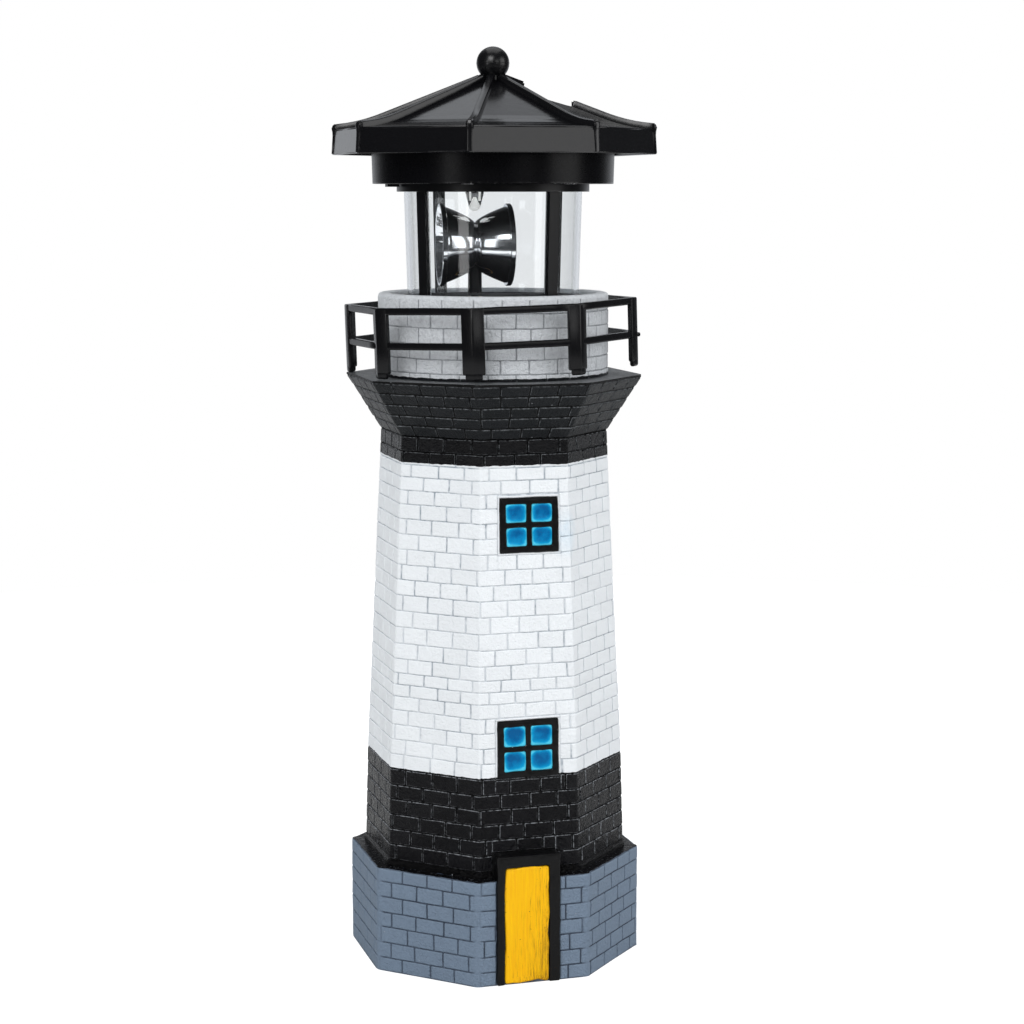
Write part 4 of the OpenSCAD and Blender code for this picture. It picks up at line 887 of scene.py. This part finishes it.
def painted_stone(name, shine, gritty):
    """Cast stone painted by hand: slate, black and white coats with ragged borders."""
    g = Graph(name)
    height = g.node("ShaderNodeSeparateXYZ", {0: g.place}).outputs[2]
    ragged = g.times(g.minus(g.noise(0.35, 2), 0.5), 0.9)
    level = g.math("DIVIDE", g.plus(height, ragged), Z_RIM)

    def coat(value):
        column = [row[COAT_VALUES.index(value)] for row in COATS]
        column = [paint(*entry) if isinstance(entry, tuple) else entry for entry in column]
        return g.ramp(level, [(row[0] / Z_RIM, entry) for row, entry in zip(COATS, column)],
                      "CONSTANT")

    joint, edge = g.attribute("joint"), g.attribute("edge")
    grain = g.noise(1.6, 4, 0.65)
    shade = g.plus(g.times(g.attribute("tone"), 0.05), g.times(g.noise(0.07, 4), 0.1))
    face = g.mix(g.minus(shade, 0.03, clamp=True), coat("brick"), (0.05, 0.05, 0.06, 1))
    off = g.node("ShaderNodeVectorMath", {0: g.place, 1: SPRAY_PLACE}, operation="DISTANCE")
    sprayed = g.minus(1.0, g.math("DIVIDE", off.outputs["Value"], SPRAY_REACH), clamp=True)
    face = g.mix(g.times(sprayed, g.noise(0.3, 3)), face, SPRAY_BLUE)
    scuffed = g.times(g.patches(0.48, 0.68, 0.6, 6, 0.75), coat("scuff"))
    face = g.mix(g.times(scuffed, 0.45), face, coat("joint"))
    # Pale brick edges, broken up in patches: partly worn paint, partly a painted highlight.
    pale_patches = g.patches(0.4, 0.62, 0.7, 5, 0.7)
    face = g.mix(g.times(g.times(edge, pale_patches), coat("wear_and_highlight"), clamp=True), face, coat("worn"))
    least = coat("grime")
    spare = g.minus(1.0, least)
    near = g.plus(least, g.times(g.patches(0.35, 0.62, 0.4, 3), spare))
    broad = g.plus(least, g.times(g.patches(0.42, 0.56, 0.05, 2), spare))
    color = g.mix(g.times(joint, g.times(near, broad)), face, coat("joint"))
    speck = g.times(g.specks(0.3, 0.07), g.patches(0.58, 0.62, 0.2, 2))
    color = g.mix(g.times(g.times(speck, coat("wear_and_highlight")), 0.7), color, (0.5, 0.52, 0.55, 1))
    lumps = g.times(g.plus(g.noise(0.45, 5, 0.6, 0.8), g.noise(1.1, 3)), coat("lumps"))
    pits = g.patches(0.32, 0.5, 2.6, 3)
    g.set(Base_Color=color, Roughness=g.plus(coat("rough"), g.times(grain, 0.14)),
          Specular_IOR_Level=shine,
          Normal=g.bump(g.plus(grain, pits), gritty, 0.15, g.bump(lumps, 1.0, 0.8)))
    return g.material


def ledge_paint():
    """Black paint that ran out over the plinth's top, with the slate showing at its rim and pale
    patches of painted reflection.
    """
    g = Graph("ledge_paint")
    # Pale grey patches, partly a painted reflection on the gloss black.
    pale_patches = g.patches(0.56, 0.7, 0.8, 5, 0.7)
    g.set(Base_Color=g.mix(g.times(pale_patches, 0.3), paint(8, 8, 10), paint(110, 114, 120)),
          Roughness=g.plus(0.2, g.times(pale_patches, 0.3)), Specular_IOR_Level=0.25,
          Normal=g.bump(g.noise(0.5, 4), 0.5, 0.4))
    return g.material


def deck_paint():
    """The gallery's floor: dark paint with pale specks and trodden patches."""
    g = Graph("deck_paint")
    patches = g.patches(0.4, 0.65, 0.3, 5, 0.7)
    color = g.mix(patches, paint(44, 47, 50), paint(108, 110, 113))
    g.set(Base_Color=g.mix(g.specks(0.9, 0.17), color, paint(176, 178, 180)),
          Roughness=g.plus(0.3, g.times(patches, 0.25)),
          Normal=g.bump(g.noise(0.8, 4), 0.5, 0.3))
    return g.material


def raw_stone():
    """Unpainted casting inside the hollow."""
    g = Graph("raw_stone")
    grain = g.noise(0.9, 6, 0.7)
    g.set(Base_Color=g.mix(grain, paint(150, 147, 140), paint(196, 193, 186)), Roughness=0.85,
          Normal=g.bump(grain, 0.5, 0.4))
    return g.material


def black_plastic(name, shade, gloss, shine):
    """Moulded black plastic with faint flow marks and handling dust."""
    g = Graph(name)
    dark, pale = paint(shade, shade, shade + 2), paint(shade + 14, shade + 14, shade + 17)
    color = g.mix(g.times(g.noise(0.06, 4), 0.35), dark, pale)
    dust = g.patches(0.58, 0.8, 1.8, 5, 0.75)
    g.set(Base_Color=g.mix(g.times(dust, 0.15), color, paint(90, 91, 94)),
          Roughness=g.plus(gloss, g.times(g.noise(0.5, 4), 0.08)), Specular_IOR_Level=shine,
          Normal=g.bump(g.noise(0.25, 4, 0.6), 0.12, 0.25))
    return g.material


def door_yellow():
    """Thick yellow paint, drawn down the door with a stiff brush and thin in places."""
    g = Graph("door_yellow")
    streak = g.noise(1.0, 5, 0.7, place=g.stretched(1.5, 1.5, 0.06))
    fine = g.noise(1.0, 4, 0.7, place=g.stretched(5.0, 5.0, 0.12))
    color = g.mix(g.ramp(streak, [(0.35, 0.0), (0.7, 1.0)]), paint(252, 196, 0),
                  paint(243, 174, 0))
    x, _, z = g.node("ShaderNodeSeparateXYZ", {0: g.place}).outputs
    bare = g.plus(fine, g.minus(g.times(x, 0.012), g.times(z, 0.003)))
    thin = g.times(g.ramp(bare, [(0.46, 0.0), (0.6, 1.0)]),
                   g.ramp(streak, [(0.36, 0.3), (0.52, 1.0)]))
    color = g.mix(g.times(thin, 0.85), color, paint(120, 80, 8))
    speck = g.times(g.specks(0.5, 0.1), g.patches(0.55, 0.6, 0.3, 2))
    g.set(Base_Color=g.mix(speck, color, paint(60, 46, 16)),
          Roughness=g.plus(0.32, g.times(fine, 0.2)), Specular_IOR_Level=0.25,
          Normal=g.bump(g.plus(streak, fine), 0.5, 0.15))
    return g.material


def trim_black():
    """Gloss black paint on the frames, with a few pale specks."""
    g = Graph("trim_black")
    pale_patches = g.patches(0.6, 0.78, 1.4, 5, 0.75)
    color = g.mix(g.times(pale_patches, 0.4), paint(7, 7, 8), paint(74, 74, 76))
    speck = g.times(g.specks(0.45, 0.07), g.patches(0.56, 0.62, 0.3, 3))
    g.set(Base_Color=g.mix(g.times(speck, 0.7), color, paint(205, 207, 210)),
          Roughness=g.plus(0.28, g.times(pale_patches, 0.3)), Specular_IOR_Level=0.25,
          Normal=g.bump(g.noise(0.5, 4), 0.45, 0.25))
    return g.material


def pane_blue():
    """Blue enamel that pools deep in the middle of a pane and thins at its rim, and is paler
    towards the pane's foot.
    """
    g = Graph("pane_blue")
    cloud = g.noise(0.25, 4, 0.6)
    thin = g.plus(g.attribute("rim"), g.times(g.minus(cloud, 0.42), 1.2))
    color = g.ramp(thin, [(0.0, paint(0, 88, 144)), (0.2, paint(0, 112, 168)),
                          (0.6, paint(0, 150, 202)), (1.0, paint(80, 200, 230))])
    dark = g.patches(0.6, 0.75, 0.5, 4, 0.7)
    g.set(Base_Color=g.mix(g.times(dark, 0.35), color, paint(18, 70, 120)),
          Roughness=g.plus(0.16, g.times(cloud, 0.15)), Specular_IOR_Level=0.14,
          Normal=g.bump(cloud, 0.4, 0.3))
    return g.material


def clear_plastic(name, tint, haze, index):
    """Clear moulded plastic with faint flow lines, whose shadow stays light."""
    g = Graph(name)
    flow = g.noise(1.0, 4, 0.6, place=g.stretched(0.25, 0.25, 0.03))
    g.set(Base_Color=tint, Transmission_Weight=1.0, IOR=index,
          Roughness=g.plus(haze, g.times(g.noise(0.4, 4), haze)), Normal=g.bump(flow, 0.02, 0.05))
    passing = g.node("ShaderNodeBsdfTransparent", {"Color": tint})
    rays = g.node("ShaderNodeLightPath")
    mixed = g.node("ShaderNodeMixShader", {0: rays.outputs["Is Shadow Ray"],
                                           1: g.shader.outputs[0], 2: passing.outputs[0]})
    g.feed(g.tree.nodes["Material Output"].inputs["Surface"], mixed.outputs[0])
    return g.material


def metal(name, color, rough):
    """Bare metal with fine scratches and dull patches."""
    g = Graph(name)
    scratch = g.noise(2.0, 5, 0.7, place=g.stretched(0.5, 0.5, 0.5))
    dull = g.patches(0.4, 0.75, 0.3, 4)
    darker = tuple(c * 0.7 for c in color[:3]) + (1.0,)
    g.set(Base_Color=g.mix(g.times(dull, 0.6), color, darker), Metallic=1.0,
          Roughness=g.plus(rough, g.times(scratch, 0.25)), Normal=g.bump(scratch, 0.25, 0.05))
    return g.material


def plain_plastic(name, color, rough):
    """Coloured plastic with a faint cloudiness and a moulded grain."""
    g = Graph(name)
    cloud = g.noise(0.4, 4)
    paler = tuple(c + (1 - c) * 0.35 for c in color[:3]) + (1.0,)
    g.set(Base_Color=g.mix(g.times(cloud, 0.4), color, paler),
          Roughness=g.plus(rough, g.times(cloud, 0.15)), Normal=g.bump(g.noise(1.5, 4), 0.2, 0.08))
    return g.material


def silicon():
    """Dark blue solar cells with thin silver fingers, two busbars and the gaps between cells."""
    g = Graph("silicon")

    def along(axis):
        return g.node("ShaderNodeVectorMath", {0: g.place, 1: SEAT_TURN @ Vector(axis)},
                      operation="DOT_PRODUCT").outputs["Value"]

    def lines(value, step, width, start):
        share = g.math("FRACT", g.math("DIVIDE", g.minus(value, start), step))
        return g.math("LESS_THAN", share, width / step)

    down, across = along((1, 0, 0)), along((0, 1, 0))
    top = SEAT_PLACE.dot(SEAT_TURN @ Vector((1, 0, 0)))
    fingers = lines(down, 1.35, 0.14, top)
    busbars = lines(across, 15.0, 0.9, 7.05)
    gaps = lines(down, SEAT_W / 4, 0.7, top - 0.35)
    cloud = g.noise(0.09, 5, 0.6)
    color = g.mix(cloud, paint(10, 16, 44), paint(24, 36, 82))
    color = g.mix(g.times(fingers, 0.55), color, paint(150, 158, 176))
    g.set(Base_Color=g.mix(g.math("MAXIMUM", busbars, gaps), color, paint(186, 190, 198)),
          Roughness=g.plus(0.2, g.times(cloud, 0.15)),
          Normal=g.bump(g.plus(fingers, g.noise(0.8, 3)), 0.2, 0.08))
    return g.material


# ======== Scene ========

CAMERA_PLACE = Vector((-254.5, -873.7, 300.4))
CAMERA_LOOK = Vector((0.2847, 0.9488, -0.1368))
CAMERA_LENS, CAMERA_FILM = 81.83, 36
BACKDROP = (0.2874, 0.9578, 0.0)
WORLD_LIGHT, MIRRORED_ROOM = 0.77, 0.05
FLOOR_R, FLOOR_GREY = 900, (0.42, 0.42, 0.42, 1)
# Place and size in metres, and power in watts
LAMP_AIM = Vector((0, 0, 0.18))
LAMPS = (
    ("key", (-0.75, -1.15, 1.15), (0.8, 0.8), 10.8),
    ("side", (1.15, -0.8, 0.55), (0.8, 1.0), 5),
    ("strip", (-1.15, -0.8, 0.42), (0.35, 0.6), 1.4),
    ("front", (0.345, -1.46, 0.6), (0.45, 0.55), 1.3),
    ("top", (0.1, 0.25, 1.5), (1.2, 1.2), 5),
)


def add_camera():
    data = bpy.data.cameras.new("camera")
    data.lens, data.sensor_width = CAMERA_LENS, CAMERA_FILM
    data.clip_start = 0.05
    camera = add_object("camera", data)
    camera.location = CAMERA_PLACE * MM
    camera.rotation_euler = CAMERA_LOOK.to_track_quat("-Z", "Y").to_euler()
    bpy.context.scene.camera = camera


def add_light(name, place, size, power):
    data = bpy.data.lights.new(name, "AREA")
    data.shape = "RECTANGLE"
    data.size, data.size_y = size
    data.energy = power
    light = add_object(name, data)
    light.location = place
    light.rotation_euler = (LAMP_AIM - Vector(place)).to_track_quat("-Z", "Y").to_euler()


def add_world():
    """Soft even light, and white for what the camera sees, also through clear plastic. What
    shines mirrors a dim room, with a white sheet low behind the object and a bright ceiling."""
    world = bpy.data.worlds.new("studio")
    bpy.context.scene.world = world
    world.use_nodes = True
    tree = world.node_tree
    tree.nodes.clear()

    def add(kind, *values, **settings):
        node = tree.nodes.new(kind)
        for key, value in settings.items():
            setattr(node, key, value)
        for socket, value in zip(node.inputs, values):
            if isinstance(value, bpy.types.NodeSocket):
                tree.links.new(value, socket)
            else:
                socket.default_value = value
        return node

    def blend(value, start, end, first, last):
        return add("ShaderNodeMapRange", value, start, end, first, last,
                   interpolation_type="SMOOTHSTEP").outputs[0]

    def both(a, b, operation):
        return add("ShaderNodeMath", a, b, operation=operation).outputs[0]

    rays = add("ShaderNodeLightPath").outputs
    direction = add("ShaderNodeTexCoord").outputs["Generated"]
    height = add("ShaderNodeSeparateXYZ", direction).outputs[2]
    behind = add("ShaderNodeVectorMath", direction, BACKDROP, operation="DOT_PRODUCT").outputs[1]
    unmirrored = both(rays["Glossy Depth"], 0.5, "LESS_THAN")
    unscattered = both(rays["Diffuse Depth"], 0.5, "LESS_THAN")
    passed = both(both(rays["Is Transmission Ray"], unmirrored, "MULTIPLY"), unscattered,
                  "MULTIPLY")
    seen = both(rays["Is Camera Ray"], passed, "MAXIMUM")
    sharp = both(both(rays["Is Glossy Ray"], rays["Is Transmission Ray"], "MAXIMUM"),
                 unscattered, "MULTIPLY")
    sheet = both(blend(height, 0.12, 0.22, 0.75, 0.1), blend(height, 0.42, 0.6, 0.0, 1.1), "ADD")
    shown = both(both(blend(behind, 0.58, 0.92, 0.0, 1.0), sheet, "MULTIPLY"), MIRRORED_ROOM,
                 "ADD")
    white = add("ShaderNodeBackground", (1, 1, 1, 1), 1.0).outputs[0]
    mirrored = add("ShaderNodeBackground", (0.92, 0.95, 1.0, 1), shown).outputs[0]
    soft = add("ShaderNodeBackground", (0.96, 0.985, 1.0, 1), WORLD_LIGHT).outputs[0]
    glossy = add("ShaderNodeMixShader", sharp, soft, mirrored).outputs[0]
    mixed = add("ShaderNodeMixShader", seen, glossy, white).outputs[0]
    add("ShaderNodeOutputWorld", mixed)


def add_floor():
    """A round pale floor that fades into the backdrop and keeps the object's shadow."""
    g = Graph("floor_white")
    far = g.node("ShaderNodeVectorMath", {0: g.place}, operation="LENGTH").outputs["Value"]
    rays = g.node("ShaderNodeLightPath").outputs
    seen = g.math("MAXIMUM", rays["Is Camera Ray"], rays["Is Transmission Ray"])
    seen = g.math("MAXIMUM", seen, g.times(rays["Is Glossy Ray"], 0.25))
    fade = g.node("ShaderNodeMapRange", {"Value": far, "From Min": 100.0, "From Max": 600.0,
                                         "To Min": 0.72, "To Max": 1.0}).outputs[0]
    g.set(Base_Color=FLOOR_GREY, Roughness=1.0, Specular_IOR_Level=0.0,
          Emission_Color=(1, 1, 1, 1), Emission_Strength=g.times(seen, fade))
    mesh = bpy.data.meshes.new("floor")
    edge = ring_path(FLOOR_R, 0, 64)
    mesh.from_pydata([p * MM for p in edge], [], [range(len(edge))])
    mesh.materials.append(g.material)
    add_object("floor", mesh)


def dress(material, *nodes):
    """Gives CAD nodes that keep their shape their material."""
    for name in nodes:
        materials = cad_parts[name].data.materials
        materials.clear()
        materials.append(material)


def dress_nodes():
    for name, shade, gloss, shine, *nodes in (
            ("gloss_black", 6, 0.12, 0.5, "roof_shell"),
            ("ball_black", 5, 0.24, 0.5, "finial_ball"),
            ("ring_black", 4, 0.24, 0.15, "ring_housing"),
            ("base_black", 5, 0.6, 0.1, "lantern_base"),
            ("satin_black", 6, 0.3, 0.25, "lantern_cage", "led_holder", "battery_cradle",
             "switch_knob", "gearbox_floor", "spindle", "plug_cover")):
        dress(black_plastic(name, shade, gloss, shine), *nodes)
    dress(clear_plastic("clear_lens", (0.938, 0.955, 0.966, 1), 0.004, 1.49), "lens_tube")
    dress(clear_plastic("clear_epoxy", (0.97, 0.985, 1.0, 1), 0.004, 1.54), "led")
    dress(clear_plastic("clear_cover", (0.93, 0.95, 0.97, 1), 0.03, 1.5), "panel_cover")
    dress(silicon(), "solar_panel")
    dress(metal("steel", (0.56, 0.56, 0.57, 1), 0.3), "board_screws", "roof_screws",
          "cage_screws", "motor_screws", "gearbox_screws", "battery_contacts", "switch_body",
          "motor_shaft", "idler_axle")
    dress(metal("motor_can", (0.62, 0.62, 0.6, 1), 0.34), "motor")
    dress(metal("bronze", (0.62, 0.42, 0.2, 1), 0.35), "spindle_bush")
    for name, color, rough, *nodes in (
            ("board_green", (18, 92, 54), 0.4, "circuit_board"),
            ("cell_wrap", (60, 130, 84), 0.3, "battery_cell"),
            ("nylon", (226, 222, 206), 0.4, "motor_pinion", "idler_gear", "output_gear"),
            ("lead_red", (170, 26, 22), 0.4, "battery_leads", "panel_leads"),
            ("lead_black", (26, 26, 28), 0.4, "motor_leads"),
            ("lead_white", (222, 222, 218), 0.4, "led_leads", "switch_leads")):
        dress(plain_plastic(name, paint(*color), rough), *nodes)


add_camera()
add_world()
for lamp in LAMPS:
    add_light(*lamp)
add_floor()
masonry()
railing()
black_trim = trim_black()
moulded("door_surround", "door_frame", 0.5, 0.35, black_trim)
for level in ("upper", "lower"):
    moulded(level + "_window_surround", level + "_window_frame", 0.36, 0.28, black_trim)
for level, window in (("upper", UPPER_WINDOW), ("lower", LOWER_WINDOW)):
    window_panes(level + "_panes", window, level + "_window_panes")
door_leaf()
roof_trim()
reflector("left_bowl", 180, "reflector_left")
reflector("right_bowl", 0, "reflector_right")
lamp_core()
dress_nodes()

bpy.context.scene.view_settings.view_transform = "Standard"
